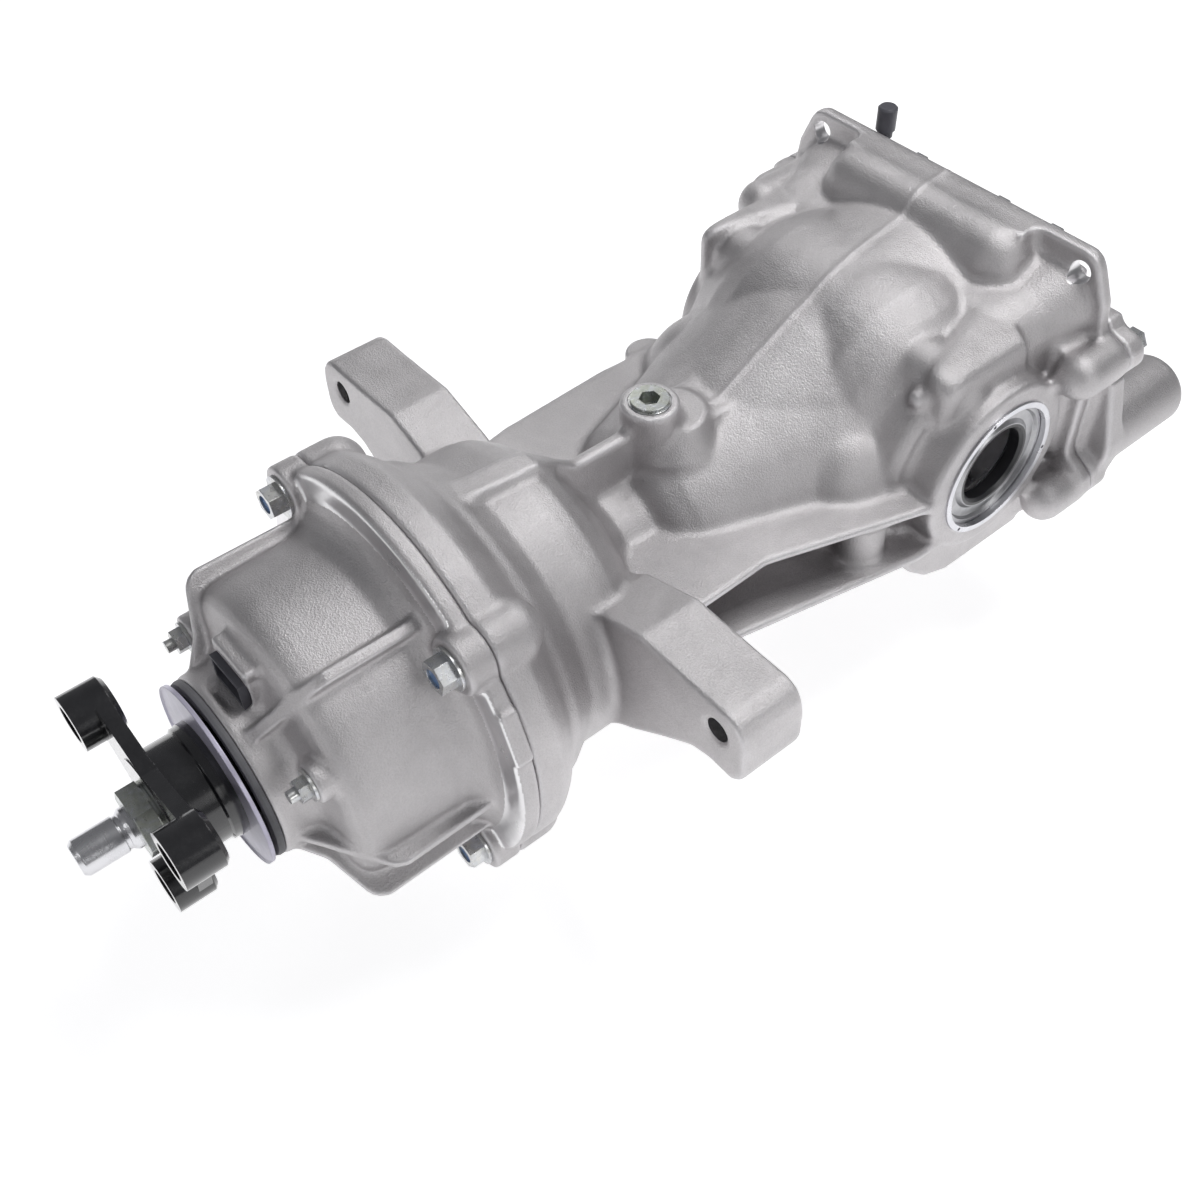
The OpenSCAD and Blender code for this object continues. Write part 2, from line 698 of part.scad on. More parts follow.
// Outline of the housing's gear chamber: throat, dome, shoulders and sump.
module gear_case_solid() {
    intersection() {
        translate([0, 0, 5]) spin_y() polygon([[0, 285], [31, 285], [50, 321], [74, 376], [89, 420],
            [97, 488],
            [0, 488]]);
        translate([-84, 270, -40]) cube([168, 230, 150]);
    }
    spin_x() polygon([[0, -78], [50, -74], [gear_room - 4, -52], [gear_room + 3, -37],
        [gear_room + 4.5, -20],
        [gear_room + 4.5, 20], [gear_room + 3, 37], [gear_room - 4, 52], [50, 74], [0, 78]]);
    both_sides() translate([43, 372, 10]) sphere(r = 40, $fn = fn_big);
    both_sides() along_y(372) translate([43, -10, 0]) cylinder(r = 40, h = 115, $fn = fn_big);
    both_sides() translate([43, 372, -30]) cylinder(r = 38, h = 40, $fn = fn_big);
    extrude_x(-82, 86) polygon([[380, 12], [380, -28], [398, -54], [412, -66], [430, -73], [489, -73],
        [489, 12]]);
    along_x(58) bevelled(58, 26, 4, fn_big);
}

// Raised capsule over the pinion, between the filler boss and the dome.
module pinion_capsule() {
    translate([0, 301, 0]) rotate_extrude($fn = fn_big) polygon([[0, 0], [26, 0], [26, 46], [17, 60],
        [0, 60]]);
    extrude_y(301, 358) polygon([[-24, -2], [24, -2], [24, 42], [14.5, 57], [-14.5, 57], [-24, 42]]);
}

// Boss round an axle opening, with the rounded bearing bump above it.
module axle_boss(face_x, boss_r) {
    along_x(60) bevelled(boss_r, face_x - 60, 2, fn_big);
    translate([50, 396, 44]) cube([face_x - 66, 30, 26]);
    translate([50, 411, 60]) rotate([0, 90, 0]) cylinder(r = 20, h = face_x - 76, $fn = fn_mid);
    translate([face_x - 27, 411, 60]) sphere(r = 19.8, $fn = fn_mid);
}

// Seal bore, shaft bore and face recess of an axle opening.
module axle_bores(face_x) {
    along_x(62) cylinder(r = 24, h = 60, $fn = fn_mid);
    along_x(face_x - 12.5) cylinder(r = 34, h = 20, $fn = fn_big);
    along_x(face_x - 3) cylinder(r = axle_recess_r, h = 10, $fn = fn_big);
}

// Bosses for the rear cover's bolts, with rounded front ends.
module rear_bolt_bosses() {
    for (p = rear_bolts) {
        if (abs(p[0]) > 100) {
            translate([p[0], 470, p[1]]) rotate([-90, 0, 0]) cylinder(r = 12, h = 20, $fn = fn_mid);
            translate([p[0], 470, p[1]]) sphere(r = 12, $fn = fn_mid);
            translate([min(p[0], sign(p[0]) * 70), 468, p[1] - 9]) cube([abs(p[0]) - 70, 22, 18]);
        }
    }
    translate([-88, 446, 68]) rotate([-90, 0, 0]) cylinder(r = 14, h = 44, $fn = fn_mid);
    translate([-88, 446, 68]) sphere(r = 14, $fn = fn_mid);
}

// Cast arms, plates and ridge that join the bell to the gear case.
module housing_frame() {
    both_sides() extrude_y(arm_y0, arm_y0 + arm_len) polygon(arm_outline);
    translate([0, 0, plate_z_hi - plate_t]) linear_extrude(height = plate_t)
        polygon([[-74, 220], [-80, 258], [-83, 324], [-79, 390], [70, 400], [104.5, 400], [104.5, 381],
            [92, 341], [77, 294], [78, 253], [74, 220]]);
    translate([0, 0, plate_z_lo - plate_t]) linear_extrude(height = plate_t)
        polygon([[-74, 220], [-80, 258], [-83, 324], [-79, 390], [70, 395], [104, 395], [104, 376],
            [83, 272], [78, 240], [74, 220]]);
    both_sides() translate([80, 356, plate_z_lo - 1]) cylinder(r = 13, h = plate_z_hi - plate_z_lo - 1,
        $fn = fn_mid);
    extrude_x(-3.5, 3.5) top_ridge_shape();
    extrude_x(-7, 7) polygon([[150, 60], [156, 85.6], [217, 80], [226, 70], [200, 60]]);
    extrude_x(-4, 4) polygon([[236, 20], [300, 20], [300, -50], [236, -34]]);
}

// Main housing: bell, arms, pinion neck, plates, gear case and rear flange.
module main_housing() {
    color(cast) difference() {
        union() {
            difference() {
                union() {
                    spin_y() polygon([[0, joint_y], [joint_flange_r, joint_y], [joint_flange_r, 153],
                        [98, 157], [94, 162], [87, 168], [85, 174], [81, 180], [bell_r, 186],
                        [bell_r, 206], [76, 214], [70, 223], [60, 231], [48, 237], [40, 242],
                        [pinion_neck_r, 250], [pinion_neck_r, 320], [0, 320]]);
                    around_y(cover_bolt_angles, cover_bolt_r)
                        along_y(joint_y) cylinder(r = cover_boss_r, h = 15.6, $fn = fn_mid);
                    around_y(cover_bolt_angles, cover_bolt_r)
                        translate([0, joint_y + 15.6, 0]) sphere(r = cover_boss_r, $fn = fn_mid);
                    around_y(cover_bolt_angles, 76) translate([-11, joint_y + 1, -6]) cube([22, 23.5, 16]);
                    housing_frame();
                    pinion_capsule();
                    translate([0, plug_y, 20]) cylinder(r = 14.5, h = plug_z - 20, $fn = fn_mid);
                    gear_case_solid();
                    axle_boss(axle_face_x, axle_boss_r);
                    mirror([1, 0, 0]) axle_boss(axle_face_left_x, axle_boss_left_r);
                    extrude_y(rear_joint_y - rear_flange_t, rear_joint_y) rear_flange_shape();
                    rear_bolt_bosses();
                    translate([-45, rear_joint_y - 19.5, cross_ridge_z - 19]) rotate([0, 90, 0])
                        cylinder(r = 19, h = 90, $fn = fn_mid);
                    both_sides() translate([45, rear_joint_y - 19.5, cross_ridge_z - 19])
                        sphere(r = 19, $fn = fn_mid);
                    translate([-58, rear_joint_y - 19, 70]) cube([116, 15, cross_ridge_z - 70.3]);
                }
                spin_y() polygon([[0, joint_y - 1], [chamber_r, joint_y - 1], [chamber_r, 196],
                    [chamber_r - 7, 204], [40, 211],
                    [tail_outer_r, 213], [tail_outer_r, tail_y0 + tail_w], [23, tail_y0 + tail_w + 0.01],
                    [23, head_y0 - 0.01], [head_outer_r, head_y0], [head_outer_r, 374], [0, 374]]);
                spin_x() polygon([[0, -72], [46, -72], [54, -61], [gear_room - 9.5, -50],
                    [gear_room - 4, -39],
                    [gear_room, -33], [gear_room, 20], [gear_room - 4, 39], [gear_room - 9.5, 50], [54, 61],
                    [46, 72], [0, 72]]);
                both_sides() translate([56, 382, 8]) sphere(r = 22, $fn = fn_mid);
                intersection() {
                    along_y(420) translate([0, -5, 0]) cylinder(r = 84, h = 90, $fn = fn_big);
                    translate([-75, 420, -67]) cube([150, 90, 160]);
                }
                axle_bores(axle_face_x);
                mirror([1, 0, 0]) axle_bores(axle_face_left_x);
            }
            both_sides() difference() {
                union() {
                    along_x(carrier_x0 - 0.5) cylinder(r = 37, h = 29.5, $fn = fn_big);
                    translate([carrier_x0 - 0.5, axle_y - 35, axle_z - cap_bolt_z - 7])
                        cube([18, 35, 2 * cap_bolt_z + 14]);
                }
                along_x(carrier_x0 - 5) cylinder(r = carrier_outer_r, h = carrier_w + 5.3, $fn = fn_big);
                along_x(carrier_x0 - 5) cylinder(r = 24, h = 60, $fn = fn_mid);
                translate([carrier_x0 - 10, axle_y, axle_z - 80]) cube([60, 80, 160]);
            }
        }
        around_y(cover_bolt_angles, cover_bolt_r) along_y(joint_y - 1)
            cylinder(r = 5, h = 28, $fn = fn_small);
        both_sides() translate([arm_hole_x, arm_y0 - 1, arm_hole_z]) rotate([-90, 0, 0])
            cylinder(r = arm_hole_r, h = 27, $fn = fn_mid);
        both_sides() translate([arm_hole_x, arm_y0 - 0.01, arm_hole_z]) rotate([-90, 0, 0])
            cylinder(r1 = arm_hole_r + 1, r2 = arm_hole_r, h = 1, $fn = fn_mid);
        both_sides() translate([ear_hole_x, rear_joint_y - 40, ear_hole_z]) rotate([-90, 0, 0])
            cylinder(r = ear_hole_r, h = 50, $fn = fn_mid);
        both_sides() translate([62, rear_joint_y - 40, 84]) cube([50, 40 - rear_flange_t, 40]);
        for (p = rear_bolts) {
            translate([p[0], rear_joint_y - 22, p[1]]) rotate([-90, 0, 0])
                cylinder(r = 4.2, h = 30, $fn = fn_small);
        }
        translate([0, plug_y, plug_z - 1.2]) cylinder(r = 10.4, h = 4, $fn = fn_mid);
        translate([0, plug_y, 16]) cylinder(r = 8, h = plug_z, $fn = fn_mid);
        translate([-45.5, joint_y - 1, 85]) rotate([-90, 0, 0]) cylinder(r = 3.4, h = 14, $fn = fn_small);
        both_sides() translate([112, arm_y0 + arm_len - 18, 30]) rotate([-90, 0, 0])
            cylinder(r = 11, h = 30, $fn = fn_mid);
        both_sides() for (z = [axle_z - cap_bolt_z, axle_z + cap_bolt_z]) {
            translate([carrier_x0 + 8, 400, z]) rotate([-90, 0, 0])
                cylinder(r = 4.2, h = 40, $fn = fn_small);
        }
    }
}

// Threaded filler plug with a hexagon socket.
module filler_plug() {
    color(steel) difference() {
        union() {
            translate([0, plug_y, plug_z - 16]) cylinder(r = 7.9, h = 16, $fn = fn_mid);
            translate([0, plug_y, plug_z]) cylinder(r = 9.4, h = 1.6, $fn = fn_mid);
        }
        translate([0, plug_y, plug_z - 5]) cylinder(r = 9 / sqrt(3), h = 8, $fn = 6);
    }
}

// Sealing washer under the filler plug.
module filler_washer() {
    color(copper) translate([0, plug_y, plug_z - 1.2]) difference() {
        cylinder(r = 10.2, h = 1.2, $fn = fn_mid);
        translate([0, 0, -1]) cylinder(r = 8, h = 4, $fn = fn_mid);
    }
}

// Shape shared by the drum-shaped back of the rear cover and its hollow.
module rear_cover_form(grow, depth) {
    translate([-66 - grow, 0, -42 - grow]) cube([132 + 2 * grow, depth - 18, 112 + 2 * grow]);
    intersection() {
        translate([-66 - grow, 0, -42 - grow]) cube([132 + 2 * grow, depth, 112 + 2 * grow]);
        translate([-120, depth - 120, 14]) rotate([0, 90, 0]) cylinder(r = 120, h = 240, $fn = fn_big);
        translate([0, depth - 150, -80]) cylinder(r = 150, h = 200, $fn = fn_big);
    }
}

// One rear mount: a bored boss on a foot that stands out past the housing's flange.
module rear_mount() {
    foot_y = rear_joint_y + 5;
    translate([mount_x, foot_y, mount_z]) rotate([-90, 0, 0]) bevelled(mount_r, mount_y1 - foot_y, 4);
    extrude_y(foot_y, foot_y + 12) polygon([[60, 30], [104, 36], [113, 37], [122, -1], [120, -20],
        [112, -42], [103, -47], [60, -47]]);
    extrude_x(mount_x - 7, mount_x + 7) polygon([[foot_y + 1, -8], [foot_y + 1, -44],
        [foot_y + 14, -41], [mount_y1 - 12, -22],
        [mount_y1 - 12, -8]]);
    translate([0, 0, mount_z - 5]) linear_extrude(height = 10)
        polygon([[60, foot_y + 2], [mount_x, foot_y + 2], [mount_x, mount_y1 - 18],
            [mount_x - 14, mount_y1 - 24],
            [66, rear_joint_y + 34]]);
}

// Rear cover: flange, domed back, ribs and the two rear mounts.
module rear_cover() {
    color(cast) difference() {
        union() {
            extrude_y(rear_joint_y, rear_joint_y + cover_flange_t) intersection() {
                rear_flange_shape();
                union() {
                    translate([-130, -90]) square([260, 164]);
                    translate([-66, 0]) square([132, 96]);
                }
            }
            translate([0, rear_joint_y, 0]) rear_cover_form(6, cover_depth);
            for (x = [-40, 0, 40]) {
                extrude_x(x - 3, x + 3) polygon([[rear_joint_y + 2, 78], [rear_joint_y + 16, 78],
                    [rear_joint_y + cover_depth + 2, 56], [rear_joint_y + cover_depth + 4, 14],
                    [rear_joint_y + cover_depth + 2, -36], [rear_joint_y + 16, -58],
                    [rear_joint_y + 2, -58]]);
            }
            both_sides() rear_mount();
            translate([-57, rear_joint_y + 9, 78]) cylinder(r = 8, h = 17, $fn = fn_mid);
            translate([20, rear_joint_y + 24, -42]) cylinder(r = 13, h = 20, center = true, $fn = fn_mid);
        }
        translate([0, rear_joint_y - 0.01, 0]) rear_cover_form(0, cover_depth - 6);
        for (p = rear_bolts) {
            translate([p[0], rear_joint_y - 1, p[1]]) rotate([-90, 0, 0])
                cylinder(r = 4.5, h = 30, $fn = fn_small);
            translate([p[0], rear_joint_y + cover_flange_t, p[1]]) rotate([-90, 0, 0])
                cylinder(r = 9.6, h = 60, $fn = fn_small);
        }
        both_sides() translate([mount_x, mount_y1 - 45, mount_z]) rotate([-90, 0, 0])
            cylinder(r = mount_bore_r, h = 60, $fn = fn_mid);
        translate([-57, rear_joint_y + 9, 70]) cylinder(r = 3, h = 40, $fn = fn_small);
        translate([20, rear_joint_y + 24, -60]) cylinder(r = 8, h = 30, $fn = fn_mid);
    }
}

// Flange bolts that hold the rear cover.
module rear_cover_bolts() {
    color(zinc) for (p = rear_bolts) {
        translate([p[0], rear_joint_y + cover_flange_t, p[1]]) rotate([-90, 0, 0])
            flange_bolt(4, 26, 12, 8, 9);
    }
}

// Drain plug in the underside of the rear cover.
module drain_plug() {
    color(steel) difference() {
        union() {
            translate([20, rear_joint_y + 24, -55.5]) cylinder(r = 7.9, h = 16, $fn = fn_mid);
            translate([20, rear_joint_y + 24, -57.5]) cylinder(r = 11, h = 5.5, $fn = fn_mid);
        }
        translate([20, rear_joint_y + 24, -60]) cylinder(r = 9 / sqrt(3), h = 9, $fn = 6);
    }
}

// Breather pipe pressed in the rear cover, with its loose-fitting cap.
module breather_pipe() {
    color(steel) translate([-57, rear_joint_y + 9, 88]) difference() {
        cylinder(r = 2.95, h = 24, $fn = fn_small);
        translate([0, 0, -1]) cylinder(r = 1.6, h = 30, $fn = fn_small);
    }
}

// Plastic cap on the breather pipe.
module breather_cap() {
    color(plastic_grey) translate([-57, rear_joint_y + 9, 101.3]) difference() {
        union() {
            cylinder(r = 4.2, h = 5, $fn = fn_small);
            translate([0, 0, 4]) cylinder(r = 5.3, h = breather_h - 5, $fn = fn_small);
            translate([0, 0, breather_h - 1.01]) cylinder(r1 = 5.3, r2 = 4.3, h = 1, $fn = fn_small);
        }
        translate([0, 0, -1]) cylinder(r = 3, h = 14.2, $fn = fn_small);
    }
}

// Pinion gear cut on its own shaft.
module pinion() {
    color(steel) {
        translate([0, axle_y, 0]) rotate([90, 0, 0]) rotate([0, 0, 180])
            bevel_gear(pinion_teeth, pinion_cone, ring_cone_len, ring_module * 1.0, ring_module * 1.05,
                ring_normal_pitch / 2 - backlash, 0.6, 18);
        difference() {
            spin_y() polygon([[0, 124], [12.4, 124], [12.4, 212], [13.6, 213], [13.6, 240],
                [tail_bore_r, 241], [tail_bore_r, 300], [head_bore_r - 0.3, 301],
                [head_bore_r - 0.3, head_y0 - 0.5], [head_bore_r, head_y0],
                [head_bore_r, head_y0 + head_w], [21, head_y0 + head_w], [21, head_y0 + head_w + 3],
                [17.6, head_y0 + head_w + 4], [17.6, axle_y - ring_face_out + 3],
                [0, axle_y - ring_face_out + 3]]);
            along_y(120) cylinder(r1 = 3.4, r2 = 2, h = 10, $fn = fn_small);
        }
    }
}

// Nut that sets the pinion bearings' preload.
module pinion_nut() {
    color(dark_steel) difference() {
        union() {
            along_y(228) cylinder(r = 32 / sqrt(3), h = 9, $fn = 6);
            along_y(236.5) cylinder(r = 18.4, h = 9.3, $fn = fn_mid);
        }
        along_y(220) cylinder(r = 13.6, h = 20.5, $fn = fn_mid);
        along_y(240) cylinder(r = tail_bore_r, h = 10, $fn = fn_mid);
    }
}

// Seal between the coupling chamber and the gear oil.
module pinion_seal() {
    color(rubber_black) spin_y() polygon([[13.6 + run_gap, 216.5], [15, 214.6], [tail_outer_r, 214.6],
        [tail_outer_r, 224], [25.6, 224],
        [25.6, 217], [16, 217], [15.4, 221], [13.6 + run_gap, 219]]);
}

// Sleeve that spaces the pinion bearings.
module pinion_spacer() {
    color(steel) spin_y() polygon([[tail_bore_r + 0.02, tail_y0 + tail_w], [18, tail_y0 + tail_w],
        [19, 270], [21, 285], [19.4, 299.5], [21.4, 301], [21.4, head_y0 - 0.1],
        [head_bore_r + 0.02, head_y0 - 0.1], [head_bore_r + 0.02, 300.6], [tail_bore_r + 0.02, 300.2]]);
}

// Inner ring and rollers of the front pinion bearing.
module tail_bearing_cone() {
    color(steel) along_y(tail_y0 + tail_w) mirror([0, 0, 1]) taper_cone(tail_bore_r, 21.4, 2.8, 12, 10,
        15, tail_w);
}

// Outer ring of the front pinion bearing.
module tail_bearing_cup() {
    color(steel) along_y(tail_y0 + tail_w) mirror([0, 0, 1]) taper_cup(tail_outer_r, 21.4, 2.8, 10, tail_w);
}

// Inner ring and rollers of the rear pinion bearing.
module head_bearing_cone() {
    color(steel) along_y(head_y0) taper_cone(head_bore_r, 26, 3.6, 15, 10, 15, head_w);
}

// Outer ring of the rear pinion bearing.
module head_bearing_cup() {
    color(steel) along_y(head_y0) taper_cup(head_outer_r, 26, 3.6, 10, head_w);
}

// Ring gear: a cone-faced ring whose straight slots all point at the pinion's apex.
module ring_gear() {
    out_x = ring_face_out * tan(pinion_cone);
    in_x = out_x * 0.72;
    add = ring_module * 0.45;
    color(steel) difference() {
        spin_x() polygon([[38, -33], [ring_r - 4, -33], [ring_r + 0.6, -28],
            [ring_r + 0.6, -out_x + add - 0.8],
            [ring_r - 0.6, -out_x + add], [49, -in_x + add * 0.7], [46, -in_x - 3], [38, -in_x - 5]]);
        for (i = [0 : ring_teeth - 1]) {
            translate([0, axle_y, axle_z]) rotate([i * 360 / ring_teeth, 0, 0])
                translate([0, 0, -axle_z]) ring_slot();
        }
        ring_bolt_places() translate([0, 0, -1]) cylinder(r = 4.2, h = 9.5, $fn = fn_small);
    }
}

// One tapered tooth space of the ring gear, with its apex on the pinion axis.
module ring_slot() {
    m = ring_module * 1.18;
    w = (ring_normal_pitch / 2 + backlash) / 2 * 1.18;
    rotate([0, 0, -pinion_cone]) rotate([90, 0, 0]) translate([0, 0, ring_cone_len * 0.59])
        linear_extrude(height = ring_cone_len * 0.59, scale = 2)
            scale(0.5) polygon([[-1.22 * m, w - 1.22 * m * tan(20)], [-1.22 * m, -w + 1.22 * m * tan(20)],
                [1.3 * m, -w - 1.3 * m * tan(20)], [1.3 * m, w + 1.3 * m * tan(20)]]);
}

// Places children at the ring gear's bolts, on the case flange's outer face.
module ring_bolt_places() {
    for (i = [0 : 7]) {
        translate([0, axle_y, axle_z]) rotate([i * 45, 0, 0]) translate([-33, 0, 45.5])
            rotate([0, 90, 0]) children();
    }
}

// Bolts that hold the ring gear on the case.
module ring_gear_bolts() {
    color(dark_steel) ring_bolt_places() {
        translate([0, 0, -5.5]) cylinder(r = 4, h = 13.5, $fn = fn_small);
        translate([0, 0, -9]) cylinder(r = 12 / sqrt(3), h = 4, $fn = 6);
    }
}

// Differential case that carries the ring gear, the cross pin and the side gears.
module differential_case() {
    color(dark_steel) difference() {
        union() {
            spin_x() polygon([[0, -carrier_x0 - carrier_w], [trunnion_r, -carrier_x0 - carrier_w],
                [trunnion_r, -carrier_x0], [23, -carrier_x0], [25, -42], [34, -38], [53, -38], [53, -33],
                [38, -33], [38, -20], [40, -16], [40.5, 10], [38, 26], [30, 38], [23, carrier_x0],
                [trunnion_r, carrier_x0], [trunnion_r, carrier_x0 + carrier_w],
                [0, carrier_x0 + carrier_w]]);
        }
        along_x(0) sphere(r = 29.5, $fn = fn_mid);
        along_x(-100) cylinder(r = 15, h = 200, $fn = fn_mid);
        both_sides() along_x(0) cylinder(r = 21, h = 28, $fn = fn_mid);
        translate([0, axle_y, axle_z - 60]) cylinder(r = 7.02, h = 120, $fn = fn_mid);
        translate([-17, axle_y - 60, axle_z - 17]) rotate([0, 0, 0]) cube([34, 120, 34]);
        ring_bolt_places() translate([0, 0, -10]) cylinder(r = 4.2, h = 30, $fn = fn_small);
        translate([-50, axle_y, axle_z + 34.5]) rotate([0, 90, 0]) cylinder(r = 2, h = 60, $fn = 24);
    }
}

// Pin across the case that the spider gears turn on.
module cross_pin() {
    color(steel) difference() {
        translate([0, axle_y, axle_z - 37.5]) cylinder(r = 7, h = 75, $fn = fn_mid);
        translate([-50, axle_y, axle_z + 34.5]) rotate([0, 90, 0]) cylinder(r = 2, h = 100, $fn = 24);
    }
}

// Small pin that locks the cross pin.
module lock_pin() {
    color(dark_steel) translate([-36, axle_y, axle_z + 34.5]) rotate([0, 90, 0])
        cylinder(r = 1.95, h = 44, $fn = 24);
}

// One spider gear on the cross pin, its back face ground to the case's sphere.
module spider_gear(up) {
    color(steel) translate([0, axle_y, axle_z]) mirror([0, 0, up < 0 ? 1 : 0]) difference() {
        intersection() {
            union() {
                bevel_gear(spider_teeth, 90 - side_cone, side_cone_len, side_module * 0.95,
                    side_module * 1.2,
                    side_module * PI / 2 - backlash, 0.5, 9);
                translate([0, 0, side_pitch_r + 1.2]) cylinder(r = 11, h = 9, $fn = fn_mid);
            }
            sphere(r = 28.3, $fn = fn_mid);
        }
        cylinder(r = 7 + run_gap, h = 60, center = true, $fn = fn_mid);
    }
}

// Upper spider gear.
module spider_gear_upper() {
    spider_gear(1);
}

// Lower spider gear.
module spider_gear_lower() {
    spider_gear(-1);
}

// Cupped thrust washers behind the spider gears.
module spider_washers() {
    color(copper) translate([0, axle_y, axle_z]) for (s = [0, 1]) {
        mirror([0, 0, s]) intersection() {
            difference() {
                sphere(r = 29.4, $fn = fn_mid);
                sphere(r = 28.6, $fn = fn_mid);
            }
            difference() {
                cylinder(r = 13, h = 40, $fn = fn_mid);
                translate([0, 0, -1]) cylinder(r = 7.1, h = 50, $fn = fn_mid);
            }
        }
    }
}

// One side gear with its hub in the trunnion and splines for the axle shaft.
module side_gear(side) {
    color(steel) along_x(0) mirror([0, 0, side < 0 ? 1 : 0]) difference() {
        union() {
            rotate([0, 0, 180 / side_teeth]) bevel_gear(side_teeth, side_cone, side_cone_len,
                side_module * 0.95, side_module * 1.2,
                side_module * PI / 2 - backlash, 0.5, 9);
            translate([0, 0, side_cone_len * cos(side_cone) + 2.6])
                cylinder(r = 20, h = 24 - side_cone_len * cos(side_cone), $fn = fn_mid);
            translate([0, 0, 26]) cylinder(r = 15 - run_gap, h = 34, $fn = fn_mid);
        }
        translate([0, 0, 2]) cylinder(r = 10.5, h = 70, $fn = fn_mid);
        for (i = [0 : 23]) {
            rotate([0, 0, i * 15]) translate([10, 0, 5]) cylinder(r = 1.1, h = 70, $fn = 8);
        }
    }
}

// Side gear on the ring gear's side.
module side_gear_left() {
    side_gear(-1);
}

// Side gear on the other side.
module side_gear_right() {
    side_gear(1);
}

// Flat washers behind the side gears.
module side_gear_washers() {
    color(copper) both_sides() tube_x(20, 15.4, 26.9, 27.7, fn_mid);
}

// Inner rings and rollers of the carrier bearings.
module carrier_bearing_cones() {
    color(steel) both_sides() along_x(carrier_x0 + carrier_w) mirror([0, 0, 1])
        taper_cone(trunnion_r, 24.4, 2.9, 12, 10, 16, carrier_w);
}

// Outer rings of the carrier bearings.
module carrier_bearing_cups() {
    color(steel) both_sides() along_x(carrier_x0 + carrier_w) mirror([0, 0, 1])
        taper_cup(carrier_outer_r, 24.4, 2.9, 10, carrier_w);
}

// Caps that clamp the carrier bearings in their saddles.
module bearing_caps() {
    color(dark_steel) both_sides() difference() {
        union() {
            along_x(carrier_x0) cylinder(r = 37, h = carrier_w, $fn = fn_big);
            translate([carrier_x0, axle_y, axle_z - cap_bolt_z - 7])
                cube([carrier_w, 13, 2 * cap_bolt_z + 14]);
        }
        along_x(carrier_x0 - 5) cylinder(r = carrier_outer_r, h = 40, $fn = fn_big);
        translate([carrier_x0 - 10, axle_y - 80, axle_z - 80]) cube([40, 80.02, 160]);
        for (z = [axle_z - cap_bolt_z, axle_z + cap_bolt_z]) {
            translate([carrier_x0 + 8, axle_y - 10, z]) rotate([-90, 0, 0])
                cylinder(r = 4.5, h = 40, $fn = fn_small);
            translate([carrier_x0 + 8, axle_y + 13, z]) rotate([-90, 0, 0])
                cylinder(r = 8, h = 40, $fn = fn_small);
        }
    }
}

// Bolts of the bearing caps.
module cap_bolts() {
    color(zinc) both_sides() for (z = [axle_z - cap_bolt_z, axle_z + cap_bolt_z]) {
        translate([carrier_x0 + 8, axle_y + 13, z]) rotate([-90, 0, 0]) flange_bolt(4, 34, 12, 7, 7.6);
    }
}

// Seal pressed in an axle opening, with its outer case and lip.
module axle_seal(face_x) {
    along_x(0) rotate_extrude($fn = fn_big) polygon([[axle_opening_r, face_x - 4], [22, face_x - 2.5],
        [24, face_x - 2.5], [26, face_x - 4.5], [31, face_x - 4.5], [32, face_x - 2.4],
        [34, face_x - 2.4], [34, face_x - 12], [32, face_x - 12], [32, face_x - 7], [25, face_x - 7],
        [22, face_x - 11.5], [axle_opening_r, face_x - 10]]);
}

// The two axle seals.
module axle_seals() {
    color(rubber_black) {
        axle_seal(axle_face_x);
        mirror([1, 0, 0]) axle_seal(axle_face_left_x);
    }
}

// One steel ring pressed in the mouth of an axle opening, with drain holes.
module seal_ring(face_x) {
    difference() {
        tube_x(axle_recess_r - 0.05, 34.4, face_x - 3, face_x + 0.8);
        for (a = [20, 140, 260]) {
            translate([face_x - 2, axle_y, axle_z]) rotate([a, 0, 0]) translate([0, 0, 36])
                rotate([0, 90, 0])
                cylinder(r = 1, h = 5, $fn = 24);
        }
    }
}

// The two seal rings.
module seal_rings() {
    color(steel) {
        seal_ring(axle_face_x);
        mirror([1, 0, 0]) seal_ring(axle_face_left_x);
    }
}

main_housing();
front_cover();
rear_cover();
cover_bolts();
rear_cover_bolts();
cover_o_ring();
coil_stud_nuts();
connector_socket();
coil_yoke();
coil_winding();
filler_plug();
filler_washer();
drain_plug();
breather_pipe();
breather_cap();
input_seal();
dust_ring();
bearing_snap_ring();
input_bearing_outer();
input_flange();
flange_nut();
input_shaft();
dust_disc();
input_bearing_inner();
input_bearing_balls();
clutch_drum();
drum_snap_ring();
pressure_end_plate();
outer_plates();
pilot_clutch();
pilot_cam();
main_cam();
ramp_balls();
inner_plates();
clutch_hub();
pinion();
pinion_nut();
pinion_spacer();
tail_bearing_cone();
head_bearing_cone();
tail_bearing_cup();
head_bearing_cup();
pinion_seal();
ring_gear();
ring_gear_bolts();
differential_case();
cross_pin();
lock_pin();
spider_washers();
side_gear_washers();
carrier_bearing_cones();
carrier_bearing_cups();
bearing_caps();
cap_bolts();
spider_gear_upper();
spider_gear_lower();
side_gear_left();
side_gear_right();
axle_seals();
seal_rings();
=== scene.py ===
"""Looks of the rear differential: castings with poured fillets, machined faces, painted and plated
parts, and the studio."""
import math

import bmesh
import bpy
import numpy as np
import openvdb
from mathutils import Matrix, Vector


